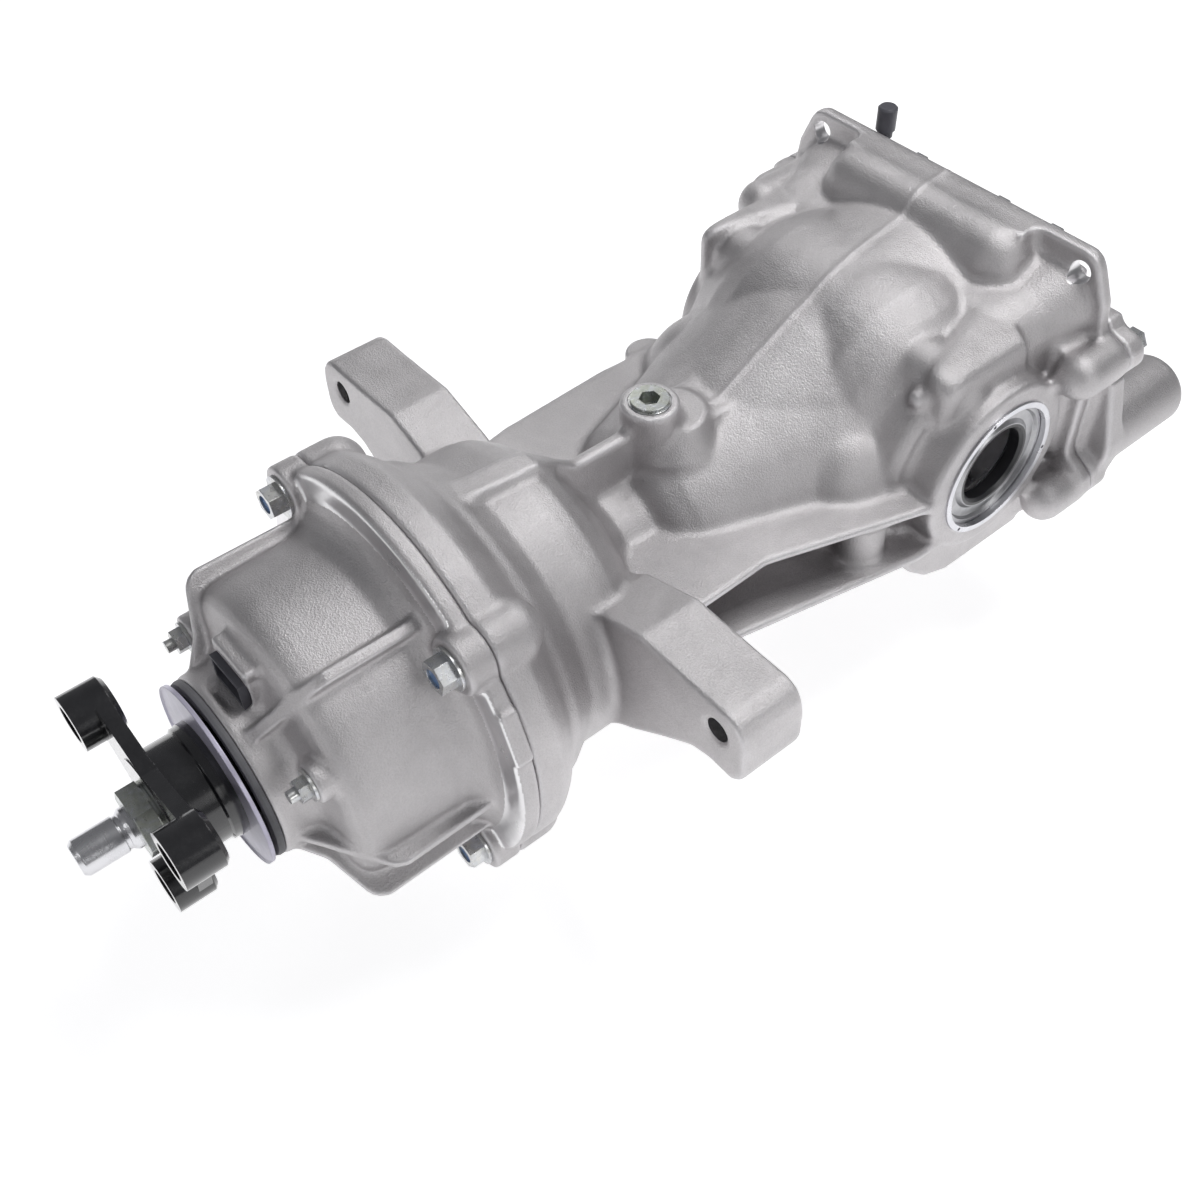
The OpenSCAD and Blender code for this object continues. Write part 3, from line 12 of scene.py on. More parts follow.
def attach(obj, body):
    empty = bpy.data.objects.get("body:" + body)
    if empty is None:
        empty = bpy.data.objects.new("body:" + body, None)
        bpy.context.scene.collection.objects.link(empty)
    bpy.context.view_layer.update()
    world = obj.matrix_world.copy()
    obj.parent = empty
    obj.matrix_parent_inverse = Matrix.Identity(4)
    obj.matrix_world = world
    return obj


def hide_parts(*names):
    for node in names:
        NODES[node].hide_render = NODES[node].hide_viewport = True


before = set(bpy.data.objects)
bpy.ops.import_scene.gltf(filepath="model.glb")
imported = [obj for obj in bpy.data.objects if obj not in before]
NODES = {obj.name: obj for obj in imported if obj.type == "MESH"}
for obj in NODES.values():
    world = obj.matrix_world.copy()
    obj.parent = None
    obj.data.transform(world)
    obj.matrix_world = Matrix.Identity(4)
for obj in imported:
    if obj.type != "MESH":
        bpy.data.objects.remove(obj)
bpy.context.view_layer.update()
MM = 0.001
SCENE = bpy.context.scene

# Places and sizes of the model, in millimetres, as the part's source has them. Keys 1 and -1 are the
# near side, at +X, and the far side.
AXLE_Y, AXLE_Z = 427.0, 18.0
AXLE_FACE = {1: 104.0, -1: 87.0}
AXLE_BOSS_R = {1: 43, -1: 40}
JOINT_Y, REAR_JOINT_Y = 140.0, 494.0
ARM_HOLE = (141.9, 35.7)
ARM_Y0 = 200.5
EAR_HOLE = (86.2, 97.5)
PLUG_Y, PLUG_Z = 287.5, 73.0
MOUNT = (102.0, -6.0)
MOUNT_Y1 = 568.0
SEAL_LIP_R = 23.8
COVER_BOLT_ANGLES = (45, 135, 225, 315)
COVER_BOLT_R = 92.6
REAR_BOLTS = ((110, 57), (109, -26.3), (-106, 57), (-109, -26.3), (52, 88), (18, 88), (-38, 88),
              (62, -60), (-62, -60), (0, -64))


# Node material helpers.

EDGE_SAMPLES = 6


class Shader:
    """A node material whose parts are added one call at a time."""

    def __init__(self, name):
        self.mat = bpy.data.materials.new(name)
        self.mat.use_nodes = True
        self.tree = self.mat.node_tree
        self.bsdf = self.tree.nodes["Principled BSDF"]
        self.coord = self.tree.nodes.new("ShaderNodeTexCoord")

    def link(self, a, b):
        self.tree.links.new(a, b)

    def put(self, socket, value):
        if isinstance(value, bpy.types.NodeSocket):
            self.link(value, socket)
        else:
            socket.default_value = value

    def noise(self, scale, detail=3.0, rough=0.55, distort=0.0, stretch=(1, 1, 1)):
        """Smooth noise over the object, its pattern squeezed by stretch."""
        n = self.tree.nodes.new("ShaderNodeTexNoise")
        n.inputs["Scale"].default_value = scale
        n.inputs["Detail"].default_value = detail
        n.inputs["Roughness"].default_value = rough
        n.inputs["Distortion"].default_value = distort
        m = self.tree.nodes.new("ShaderNodeMapping")
        m.inputs["Scale"].default_value = stretch
        self.link(self.coord.outputs["Object"], m.inputs["Vector"])
        self.link(m.outputs["Vector"], n.inputs["Vector"])
        return n.outputs["Fac"]

    def cells(self, scale):
        """Distance to the nearest of many scattered points."""
        n = self.tree.nodes.new("ShaderNodeTexVoronoi")
        n.inputs["Scale"].default_value = scale
        self.link(self.coord.outputs["Object"], n.inputs["Vector"])
        return n.outputs["Distance"]

    def ramp(self, fac, stops):
        """A grey or colour for each value of fac, from (position, grey or colour) stops."""
        n = self.tree.nodes.new("ShaderNodeValToRGB")
        e = n.color_ramp.elements
        for i, (pos, col) in enumerate(stops):
            el = e[i] if i < 2 else e.new(pos)
            el.position = pos
            el.color = (*col, 1) if isinstance(col, tuple) else (col, col, col, 1)
        self.link(fac, n.inputs["Fac"])
        return n.outputs["Color"]

    def mix(self, fac, a, b):
        """Colour a where fac is 0 and b where it is 1."""
        n = self.tree.nodes.new("ShaderNodeMix")
        n.data_type = "RGBA"
        self.put(n.inputs["Factor"], fac)
        self.put(n.inputs[6], a if isinstance(a, bpy.types.NodeSocket) else (*a, 1))
        self.put(n.inputs[7], b if isinstance(b, bpy.types.NodeSocket) else (*b, 1))
        return n.outputs[2]

    def math(self, op, a, b=0.0):
        n = self.tree.nodes.new("ShaderNodeMath")
        n.operation = op
        self.put(n.inputs[0], a)
        self.put(n.inputs[1], b)
        return n.outputs[0]

    def bump(self, height, strength, distance, normal=None):
        n = self.tree.nodes.new("ShaderNodeBump")
        n.inputs["Strength"].default_value = strength
        n.inputs["Distance"].default_value = distance
        self.link(height, n.inputs["Height"])
        if normal is not None:
            self.link(normal, n.inputs["Normal"])
        return n.outputs["Normal"]

    def soft_edges(self, radius):
        """A normal that rounds sharp edges to the radius."""
        n = self.tree.nodes.new("ShaderNodeBevel")
        n.samples = EDGE_SAMPLES
        n.inputs["Radius"].default_value = radius
        return n.outputs["Normal"]

    def place_along(self, axis):
        n = self.tree.nodes.new("ShaderNodeSeparateXYZ")
        self.link(self.coord.outputs["Object"], n.inputs["Vector"])
        return n.outputs[axis]

    def pointiness(self):
        return self.tree.nodes.new("ShaderNodeNewGeometry").outputs["Pointiness"]


# Painted highlight: the pale grey that the castings' convex edges are lightened towards.
EDGE_HIGHLIGHT_GREY = (0.86, 0.85, 0.87)


def darker(colour, share):
    return tuple(c * share for c in colour)


def cast_aluminium(name, base, dark, grain_scale):
    """Sand-textured die casting: grey oxide clouds, fine grain and a painted highlight that lightens convex
    edges.
    """
    s = Shader(name)
    clouds = s.noise(14, 4, 0.6, 0.6)
    stains = s.noise(46, 5, 0.65, 1.2)
    grain = s.noise(grain_scale, 3, 0.7)
    pits = s.cells(900)
    body = s.mix(s.ramp(clouds, [(0.35, 0.0), (0.68, 1.0)]), dark, base)
    body = s.mix(s.ramp(stains, [(0.52, 0.0), (0.74, 0.55)]), body, darker(base, 0.80))
    body = s.mix(s.ramp(grain, [(0.35, 0.28), (0.62, 0.0)]), body, darker(base, 0.62))
    # Painted highlight: convex edges, found by pointiness, are lightened towards a pale grey.
    body = s.mix(s.ramp(s.pointiness(), [(0.505, 0.0), (0.56, 0.55)]), body, EDGE_HIGHLIGHT_GREY)
    s.put(s.bsdf.inputs["Base Color"], body)
    s.bsdf.inputs["Metallic"].default_value = 0.92
    rough = s.ramp(grain, [(0.3, 0.52), (0.7, 0.36)])
    rough = s.mix(s.ramp(clouds, [(0.4, 0.0), (0.7, 0.6)]), rough, (0.45, 0.45, 0.45))
    s.put(s.bsdf.inputs["Roughness"], rough)
    n = s.bump(grain, 0.55, 0.0007)
    n = s.bump(s.ramp(pits, [(0.08, 0.0), (0.3, 1.0)]), 0.10, 0.0005, n)
    n = s.bump(s.noise(60, 3, 0.5), 0.22, 0.0022, n)
    s.put(s.bsdf.inputs["Normal"], n)
    return s.mat


# Radius of a softened edge in metres, and the turned rings per metre.
MACHINED_EDGE, PLATED_EDGE, PAINTED_EDGE = 0.0004, 0.0005, 0.0006
RING_SCALE = 2600


def machined(name, base, rough, ring_axis=None):
    """Turned or ground metal: fine rings about an axis, faint stains and softened edges."""
    s = Shader(name)
    stains = s.noise(70, 4, 0.6, 0.8)
    col = s.mix(s.ramp(stains, [(0.45, 0.0), (0.75, 0.5)]), base, darker(base, 0.78))
    s.put(s.bsdf.inputs["Base Color"], col)
    s.bsdf.inputs["Metallic"].default_value = 1.0
    s.put(s.bsdf.inputs["Roughness"], s.ramp(stains, [(0.3, rough), (0.8, rough + 0.14)]))
    n = s.soft_edges(MACHINED_EDGE)
    if ring_axis is not None:
        stretch = tuple(1.0 if i == ring_axis else 0.02 for i in range(3))
        n = s.bump(s.noise(RING_SCALE, 2, 0.5, 0, stretch), 0.12, 0.0003, n)
    else:
        n = s.bump(s.noise(1500, 2, 0.6), 0.08, 0.0002, n)
    s.put(s.bsdf.inputs["Normal"], n)
    return s.mat


def zinc_plate(name, base):
    """Zinc-plated steel: pale grey with cloudy blue and straw tints."""
    s = Shader(name)
    a = s.noise(160, 3, 0.6, 1.0)
    b = s.noise(420, 4, 0.6)
    col = s.mix(s.ramp(a, [(0.4, 0.0), (0.7, 0.8)]), base, (0.60, 0.62, 0.68))
    col = s.mix(s.ramp(b, [(0.45, 0.0), (0.75, 0.6)]), col, darker(base, 0.66))
    s.put(s.bsdf.inputs["Base Color"], col)
    s.bsdf.inputs["Metallic"].default_value = 0.95
    s.put(s.bsdf.inputs["Roughness"], s.ramp(b, [(0.3, 0.22), (0.7, 0.40)]))
    s.put(s.bsdf.inputs["Normal"], s.bump(b, 0.12, 0.0003, s.soft_edges(PLATED_EDGE)))
    return s.mat


def painted(name, base, rough, coat=0.0, metallic=0.0, orange_peel=0.1):
    """Paint or moulded plastic with an even skin, faint orange peel and soft edges."""
    s = Shader(name)
    a = s.noise(90, 3, 0.6)
    fine = s.noise(700, 3, 0.6)
    lighter = tuple(min(1.0, c * 1.25 + 0.012) for c in base)
    col = s.mix(s.ramp(a, [(0.4, 0.0), (0.72, 0.7)]), base, lighter)
    s.put(s.bsdf.inputs["Base Color"], col)
    s.bsdf.inputs["Metallic"].default_value = metallic
    s.put(s.bsdf.inputs["Roughness"], s.ramp(fine, [(0.3, rough), (0.75, rough + 0.12)]))
    s.bsdf.inputs["Coat Weight"].default_value = coat
    s.bsdf.inputs["Coat Roughness"].default_value = 0.08
    s.put(s.bsdf.inputs["Normal"], s.bump(fine, orange_peel, 0.0003, s.soft_edges(PAINTED_EDGE)))
    return s.mat


def pressed_seal(name, centre_y, centre_z, lip_r):
    """A seal seen face on: pressed steel case with turned rings and a black rubber lip in the middle."""
    s = Shader(name)
    dy = s.math("SUBTRACT", s.place_along(1), centre_y)
    dz = s.math("SUBTRACT", s.place_along(2), centre_z)
    r = s.math("SQRT", s.math("ADD", s.math("MULTIPLY", dy, dy), s.math("MULTIPLY", dz, dz)))
    case = s.ramp(s.math("DIVIDE", r, lip_r), [(0.0, 0.0), (0.98, 0.0), (1.0, 1.0)])
    stains = s.noise(160, 4, 0.6)
    steel = s.mix(s.ramp(stains, [(0.4, 0.0), (0.7, 0.6)]), (0.46, 0.46, 0.47), (0.30, 0.30, 0.31))
    s.put(s.bsdf.inputs["Base Color"], s.mix(case, (0.022, 0.022, 0.025), steel))
    s.put(s.bsdf.inputs["Metallic"], case)
    s.bsdf.inputs["Roughness"].default_value = 0.36
    s.put(s.bsdf.inputs["Normal"], s.bump(stains, 0.1, 0.0003, s.soft_edges(PLATED_EDGE)))
    return s.mat


CAST = cast_aluminium("cast_aluminium", (0.645, 0.625, 0.632), (0.49, 0.475, 0.482), 1150)
CUT = machined("machined_aluminium", (0.80, 0.79, 0.80), 0.26)
TURNED = machined("turned_steel", (0.70, 0.70, 0.72), 0.20, ring_axis=1)
TURNED_X = machined("turned_steel_cross", (0.66, 0.66, 0.69), 0.24, ring_axis=0)
STEEL = machined("ground_steel", (0.58, 0.58, 0.61), 0.26)
DARK = machined("dark_steel", (0.20, 0.20, 0.21), 0.38)
ZINC = zinc_plate("zinc_plate", (0.66, 0.66, 0.64))
NUT = zinc_plate("nut_plate", (0.50, 0.52, 0.47))
BLUE = painted("blue_lacquer", (0.12, 0.24, 0.48), 0.35, 0.3)
GREY_RUBBER = painted("grey_rubber", (0.13, 0.13, 0.14), 0.50, orange_peel=0.25)
GLOSS = painted("gloss_black", (0.012, 0.012, 0.014), 0.16, 0.8, orange_peel=0.06)
RUBBER = painted("rubber", (0.022, 0.022, 0.025), 0.55, orange_peel=0.25)
PLASTIC = painted("grey_plastic", (0.085, 0.085, 0.10), 0.38, 0.1, orange_peel=0.2)
LAVENDER = painted("lavender_disc", (0.56, 0.54, 0.66), 0.30, 0.15, metallic=0.35)
COPPER = machined("copper", (0.80, 0.42, 0.24), 0.3)
SEAL = pressed_seal("pressed_seal", AXLE_Y * MM, AXLE_Z * MM, SEAL_LIP_R * MM)
LINING = painted("friction_lining", (0.30, 0.21, 0.13), 0.8, orange_peel=0.5)


def wear(obj, mat):
    obj.data.materials.clear()
    obj.data.materials.append(mat)
    return obj


FINISH = {
    "main_housing": CAST, "front_cover": CAST, "rear_cover": CAST,
    "cover_bolts": ZINC, "rear_cover_bolts": ZINC, "coil_stud_nuts": ZINC, "cap_bolts": ZINC,
    "filler_plug": NUT, "drain_plug": ZINC, "connector_socket": PLASTIC, "breather_cap": PLASTIC,
    "breather_pipe": TURNED, "filler_washer": ZINC, "coil_winding": COPPER, "spider_washers": COPPER,
    "side_gear_washers": COPPER, "inner_plates": LINING, "input_flange": GLOSS, "flange_nut": NUT,
    "input_shaft": TURNED, "dust_disc": LAVENDER, "dust_ring": GREY_RUBBER, "input_seal": RUBBER,
    "pinion_seal": RUBBER, "cover_o_ring": RUBBER, "axle_seals": SEAL, "seal_rings": TURNED_X,
    "coil_yoke": ZINC, "outer_plates": DARK,
    "pilot_clutch": DARK, "differential_case": DARK, "bearing_caps": DARK, "ring_gear_bolts": DARK,
    "pinion_nut": DARK, "lock_pin": DARK,
}
for node_name, node in NODES.items():
    wear(node, FINISH.get(node_name, STEEL))


# Castings: the CAD solids with poured fillets.

def mesh_arrays(obj):
    """Vertices in millimetres and triangles of a mesh object."""
    me = obj.data
    me.calc_loop_triangles()
    co = np.zeros(len(me.vertices) * 3, np.float32)
    me.vertices.foreach_get("co", co)
    tri = np.zeros(len(me.loop_triangles) * 3, np.int32)
    me.loop_triangles.foreach_get("vertices", tri)
    return co.reshape(-1, 3) / MM, tri.reshape(-1, 3)


# The most that rounding may take off a thin plate, in millimetres.
THIN_PLATE_LOSS = 0.5


def level_set(points, faces, voxel, reach):
    """Signed distance to a closed surface, to reach millimetres either side."""
    grid = openvdb.createLinearTransform(voxelSize=voxel)
    three = faces if faces.shape[1] == 3 else np.zeros((0, 3), np.uint32)
    four = faces if faces.shape[1] == 4 else np.zeros((0, 4), np.uint32)
    return openvdb.FloatGrid.createLevelSetFromPolygons(
        points=points.astype(np.float32), triangles=three.astype(np.uint32), quads=four.astype(np.uint32),
        transform=grid, halfWidth=reach / voxel)


def moved_surface(grid, offset):
    """Points and quads of the surface at an offset from the grid's own."""
    return grid.convertToQuads(isovalue=offset)


def to_array(grid, low, size):
    """The grid's distances in a block of cells that starts at low."""
    out = np.zeros(size, np.float32)
    grid.copyToArray(out, ijk=low)
    return out


def to_grid(field, low, voxel, reach):
    """A grid with the distances of a block of cells that starts at low."""
    grid = openvdb.FloatGrid(reach)
    grid.transform = openvdb.createLinearTransform(voxelSize=voxel)
    grid.copyFromArray(np.clip(field, -reach, reach).astype(np.float32), ijk=low)
    return grid


def round_plug(x, y, z, start, end, radius, axis):
    """Distance to a cylinder from start to end along an axis."""
    along = (x, y, z)[axis]
    u, v = [i for i in range(3) if i != axis]
    r = np.sqrt(((x, y, z)[u] - start[u]) ** 2 + ((x, y, z)[v] - start[v]) ** 2)
    low, high = min(start[axis], end[axis]), max(start[axis], end[axis])
    return np.maximum(r - radius, np.maximum(low - along, along - high))


def smoothed(field):
    """One gentle smoothing pass along each axis."""
    for axis in range(3):
        count = field.shape[axis]
        mid, above, below = ([slice(None)] * 3 for _ in range(3))
        mid[axis], above[axis], below[axis] = slice(1, count - 1), slice(2, count), slice(0, count - 2)
        soft = field.copy()
        soft[tuple(mid)] = 0.5 * field[tuple(mid)] + 0.25 * (field[tuple(above)] + field[tuple(below)])
        field = soft
    return field


def poured(obj, name, fillet, rounding, voxel, keep, fill=(), extra=None, relief=None):
    """A casting skin: concave corners filled to the fillet radius and outer edges rounded, with the solid's
    own hollow kept where keep(x, y, z) is true and the listed cylinders filled, ready to be drilled again.
    Forms of extra(x, y, z) are cast on before the filling, and relief(x, y, z) raises the skin after it."""
    points, tris = mesh_arrays(obj)
    wide = fillet + 3 * voxel
    narrow = rounding + 4 * voxel
    first = level_set(points, tris, voxel, wide)
    low = np.floor(points.min(0) / voxel).astype(int) - 4
    size = np.ceil(points.max(0) / voxel).astype(int) + 5 - low
    low_t = tuple(int(v) for v in low)
    own = to_array(first, low_t, size)
    ax = [(low[i] + np.arange(size[i])) * voxel for i in range(3)]
    x, y, z = ax[0][:, None, None], ax[1][None, :, None], ax[2][None, None, :]
    bare = own
    if extra is not None:
        own = np.minimum(own, extra(x, y, z))
        first = to_grid(own, low_t, voxel, wide)
    p, q = moved_surface(first, fillet)
    grown = level_set(p, q, voxel, wide)
    p, q = moved_surface(grown, -fillet)
    closed = level_set(p, q, voxel, narrow)
    p, q = moved_surface(closed, -rounding)
    shrunk = level_set(p, q, voxel, narrow)
    skin = np.minimum(to_array(shrunk, low_t, size) - rounding, own + THIN_PLATE_LOSS)
    if relief is not None:
        skin = skin - relief(x, y, z)
    for cylinder in fill:
        skin = np.minimum(skin, round_plug(x, y, z, *cylinder))
    field = np.where(keep(x, y, z), bare, skin).astype(np.float32)
    field = smoothed(np.clip(field, -narrow, narrow))
    p, q = to_grid(field, low_t, voxel, narrow).convertToQuads(isovalue=0.0)
    me = bpy.data.meshes.new(name)
    me.from_pydata((p * MM).tolist(), [], q.tolist())
    me.update()
    new = bpy.data.objects.new(name, me)
    SCENE.collection.objects.link(new)
    return new


BORE_SEGMENTS = 96


def turned_solid(bm, place, axis, steps):
    """Adds a closed turned solid to bm. Each step is its start and radius along the axis, the last one
    the end."""
    turn = Vector((0, 0, 1)).rotation_difference(Vector(axis)).to_matrix().to_4x4()
    at = Matrix.Translation(Vector(place) * MM) @ turn
    loops = []
    for (start, radius), (end, _) in zip(steps[:-1], steps[1:]):
        for h in (start, end):
            loops.append([bm.verts.new(at @ (Vector((radius * math.cos(a), radius * math.sin(a), h)) * MM))
                          for a in (math.tau * i / BORE_SEGMENTS for i in range(BORE_SEGMENTS))])
    for low, high in zip(loops[:-1], loops[1:]):
        for i in range(BORE_SEGMENTS):
            j = (i + 1) % BORE_SEGMENTS
            bm.faces.new((low[i], low[j], high[j], high[i]))
    bm.faces.new(list(reversed(loops[0])))
    bm.faces.new(loops[-1])


def drilled(obj, cuts, mat):
    """Cuts crisp machined bores out of a casting. Each cut is a place in mm, an axis and the bore's
    steps."""
    bm = bmesh.new()
    for place, axis, steps in cuts:
        turned_solid(bm, place, axis, steps)
    me = bpy.data.meshes.new(obj.name + "_cuts")
    bm.to_mesh(me)
    bm.free()
    me.materials.append(mat)
    cutter = bpy.data.objects.new(obj.name + "_cuts", me)
    SCENE.collection.objects.link(cutter)
    mod = obj.modifiers.new("machined", "BOOLEAN")
    mod.operation = "DIFFERENCE"
    mod.solver = "MANIFOLD"
    mod.object = cutter
    mod.material_mode = "TRANSFER"
    bpy.context.view_layer.update()
    deps = bpy.context.evaluated_depsgraph_get()
    done = bpy.data.meshes.new_from_object(obj.evaluated_get(deps), depsgraph=deps)
    obj.modifiers.clear()
    obj.data = done
    bpy.data.objects.remove(cutter)
    return obj


SHARP_ANGLE = math.radians(35)


def smooth(obj):
    """Smooth shading, with edges sharper than the angle kept crisp."""
    for poly in obj.data.polygons:
        poly.use_smooth = True
    bm = bmesh.new()
    bm.from_mesh(obj.data)
    for e in bm.edges:
        e.smooth = len(e.link_faces) == 2 and e.calc_face_angle(0) < SHARP_ANGLE
    bm.to_mesh(obj.data)
    bm.free()
    return obj


def finish_casting(obj, node_name):
    smooth(obj)
    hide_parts(node_name)
    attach(obj, "housing")
    return obj


def ring(x, z, cx, cz):
    """Distance from a line along the drive axis at cx, cz."""
    return np.sqrt((x - cx) ** 2 + (z - cz) ** 2)


# How far past the hollow's own surface the solid's skin is kept.
WALL = 2.5


def housing_hollow(x, y, z):
    """Where the housing's own hollow is kept: coupling chamber, pinion bore and gear chamber, each with a
    skin of wall."""
    r = ring(x, z, 0, 0)
    across = np.abs(x)
    throat = np.interp(y, (196, 204, 211, 212, 251, 252, 337, 374), (67, 60, 40, 27.5, 27.5, 25, 34, 34))
    front = (r < throat + WALL) & (y < 374 + WALL)
    ra = np.sqrt((y - AXLE_Y) ** 2 + (z - AXLE_Z) ** 2)
    chamber = np.interp(across, (33, 39, 50, 61, 72, 73), (71, 67, 61.5, 54, 46, 44))
    gears = (ra < chamber + WALL) & (across < 72 + WALL)
    bulge = np.sqrt((across - 56) ** 2 + (y - 382) ** 2 + (z - 8) ** 2) < 22 + WALL
    rear = (ring(x, z, 0, 5) < 84 + WALL) & (across < 75 + WALL) & (z > -67 - WALL) & (y > 420 - WALL)
    return front | gears | bulge | rear


def smooth_max(a, b, blend):
    """The larger of two distances, with the edge between them rounded."""
    h = np.maximum(blend - np.abs(a - b), 0) / blend
    return np.maximum(a, b) + h * h * blend / 4


def smooth_min(a, b, blend):
    """The smaller of two distances, with the corner between them filled."""
    return -smooth_max(-a, -b, blend)


def rounded_corner(u, v, radius):
    """Distance to a quarter plane, u and v below zero inside, with its corner rounded."""
    outside = np.sqrt(np.maximum(u + radius, 0) ** 2 + np.maximum(v + radius, 0) ** 2)
    return outside + np.minimum(np.maximum(u + radius, v + radius), 0) - radius


def rear_shoulder(x, y, z):
    """The broad corner of the gear case that meets the rear flange, on both sides."""
    across = np.abs(x)
    half = np.interp(y, (444, 486), (88, 98.5))
    top = np.interp(y, (444, 466, 486), (84, 88, 97))
    body = rounded_corner(across - half, z - top, 24)
    front = (442 - y) * 0.97 + (across - 88) * 0.1 + (z - 60) * 0.05
    body = smooth_max(body, front, 12)
    body = smooth_max(body, -12 - z, 8)
    return np.maximum(body, np.maximum(y - (REAR_JOINT_Y - 6), 40 - across))


def bearing_block(x, y, z):
    """The block over each carrier bearing, in front of the shoulder."""
    across = np.abs(x)
    reach = np.where(x > 0, AXLE_FACE[1] - 11, AXLE_FACE[-1] - 3)
    front = 391 - y
    inner = ((75 - across) * 0.94 + (394 - y) * 0.34)
    body = smooth_max(front, inner, 9)
    body = smooth_max(body, across - reach, 14)
    body = smooth_max(body, z - 82 + (across - 75) * 0.12, 13)
    return np.maximum(body, np.maximum(20 - z, y - 448))


def nose_cone(x, y, z):
    """The wide cone under the filler plug, from the pinion tunnel to the gear case."""
    r = np.sqrt((x * 0.86) ** 2 + (z - 4) ** 2)
    cone = (r - np.interp(y, (262, 284, 330, 392), (30, 41, 54, 74))) * 0.93
    return smooth_max(np.maximum(cone, 8 - z), np.maximum(270 - y, y - 392), 10)


def knob(x, y, z):
    """The small round boss in front of the near bearing block."""
    return np.sqrt((x - 76) ** 2 + (y - 389) ** 2 + (z - 66) ** 2) - 4.5


def housing_forms(x, y, z):
    """Everything that is cast on the housing's solid."""
    forms = np.minimum(rear_shoulder(x, y, z), bearing_block(x, y, z))
    forms = smooth_min(forms, nose_cone(x, y, z), 8)
    return np.minimum(forms, knob(x, y, z))


# The parting strip's two ends as x and y, its height and its width.
STRIP = ((6.5, 320.0), (-4.5, 492.0))
STRIP_HEIGHT, STRIP_WIDTH = 0.9, 1.2


def housing_relief(x, y, z):
    """Height of the raised parting strip that runs over the dome and the rear ridge."""
    (x0, y0), (x1, y1) = STRIP
    length = math.hypot(x1 - x0, y1 - y0)
    along = ((x - x0) * (x1 - x0) + (y - y0) * (y1 - y0)) / length
    off = ((x - x0) * (y1 - y0) - (y - y0) * (x1 - x0)) / length
    on = (along > 0) & (along < length) & (z > 30)
    return STRIP_HEIGHT * np.exp(-(off / STRIP_WIDTH) ** 2) * on


FLANGE_FACE_Y, FLANGE_FACE_R = 131.0, 86.5


def face_flange(cover):
    """Gives the front face of the cover's bolt flange its machined finish."""
    for poly in cover.data.polygons:
        x, y, z = (c / MM for c in poly.center)
        if abs(y - FLANGE_FACE_Y) < 1.2 and poly.normal.y < -0.7 and math.hypot(x, z) > FLANGE_FACE_R:
            poly.material_index = 1


# Each rib's angle, thickness, outer height and the place along the axis where it reaches it.
COVER_RIBS = ((30, 6, 80, 80), (-42, 4, 80, 72), (103, 5, 80, 80), (123, 5, 83, 72), (157, 5, 80, 80),
              (-110, 5, 80, 80))


def cover_ribs(x, y, z):
    """The front cover's ribs, a little taller than in the solid below them."""
    out = np.full(np.broadcast_shapes(x.shape, y.shape, z.shape), 50.0, np.float32)
    for angle, thick, top, corner in COVER_RIBS:
        c, s = math.cos(math.radians(angle)), math.sin(math.radians(angle))
        off = np.abs(x * c - z * s) - thick / 2
        height = x * s + z * c
        crest = np.interp(y, (50, 56, 62, corner - 4, corner + 2, 132),
                          (43, 51, 60.5, top - 1, top + 2, top + 1.5))
        rib = np.maximum(off, (height - crest) * 0.8)
        ends = np.maximum(51 - y, np.maximum(y - 131.5, 44 - height))
        out = np.minimum(out, np.maximum(rib, ends))
    return out


def along_y(holes, start, end, radius):
    """Straight bores along the drive axis, one at each (x, y, z), from start to end past it."""
    return [((x, y, z), (0, 1, 0), ((start, radius), (end, radius))) for x, y, z in holes]


def cover_bolt_holes():
    for angle in COVER_BOLT_ANGLES:
        turned = math.radians(angle)
        yield math.sin(turned) * COVER_BOLT_R, JOINT_Y, math.cos(turned) * COVER_BOLT_R


def both_sides(x, y, z):
    return ((x, y, z), (-x, y, z))


def rear_bolt_holes():
    return [(x, REAR_JOINT_Y, z) for x, z in REAR_BOLTS]


def build_housing():
    arms = both_sides(ARM_HOLE[0], ARM_Y0, ARM_HOLE[1])
    ears = both_sides(EAR_HOLE[0], REAR_JOINT_Y, EAR_HOLE[1])
    fills = []
    cuts = []
    for side in (1, -1):
        face = AXLE_FACE[side]
        fills.append(((side * (face - 12.4), AXLE_Y, AXLE_Z), (side * (face - 0.3), AXLE_Y, AXLE_Z),
                      AXLE_BOSS_R[side], 0))
        bore = ((60, 24), (face - 12.5, 34), (face - 3, 37.6), (face + 20, 37.6))
        cuts.append(((0, AXLE_Y, AXLE_Z), (side, 0, 0), bore))
    fills += [((x, y + 2, z), (x, y + 28, z), 8, 1) for x, y, z in arms]
    fills += [((x, y - 7.4, z), (x, y - 0.6, z), 8, 1) for x, y, z in ears]
    fills.append(((0, PLUG_Y, 50), (0, PLUG_Y, PLUG_Z - 0.6), 12.5, 2))
    cuts += along_y(arms, -5, 26, 6)
    cuts += along_y(ears, -30, 30, 5.8)
    cuts.append(((0, PLUG_Y, 0), (0, 0, 1), ((16, 8), (PLUG_Z - 1.2, 10.6), (PLUG_Z + 20, 10.6))))
    cuts += along_y(cover_bolt_holes(), -2, 27, 5.1)
    cuts += along_y(rear_bolt_holes(), -22, 18, 4.25)
    housing = poured(NODES["main_housing"], "housing_casting", 3.2, 0.6, 1.0,
                     housing_hollow, fills, housing_forms, housing_relief)
    wear(housing, CAST)
    drilled(housing, cuts, CUT)
    finish_casting(housing, "main_housing")


def cover_hollow(x, y, z):
    """Where the front cover's own chamber and neck bore are kept."""
    r = ring(x, z, 0, 0)
    return ((r < 69) & (y > 80)) | (r < 39.5)


def build_cover():
    neck_bore = ((0, 0, 0), (0, 1, 0), ((38, 38.6), (46, 37), (56, 37)))
    cover = poured(NODES["front_cover"], "cover_casting", 2.0, 0.35, 0.75,
                   cover_hollow, extra=cover_ribs)
    wear(cover, CAST)
    drilled(cover, [neck_bore] + along_y(cover_bolt_holes(), -20, 10, 5.5), CUT)
    face_flange(cover)
    finish_casting(cover, "front_cover")


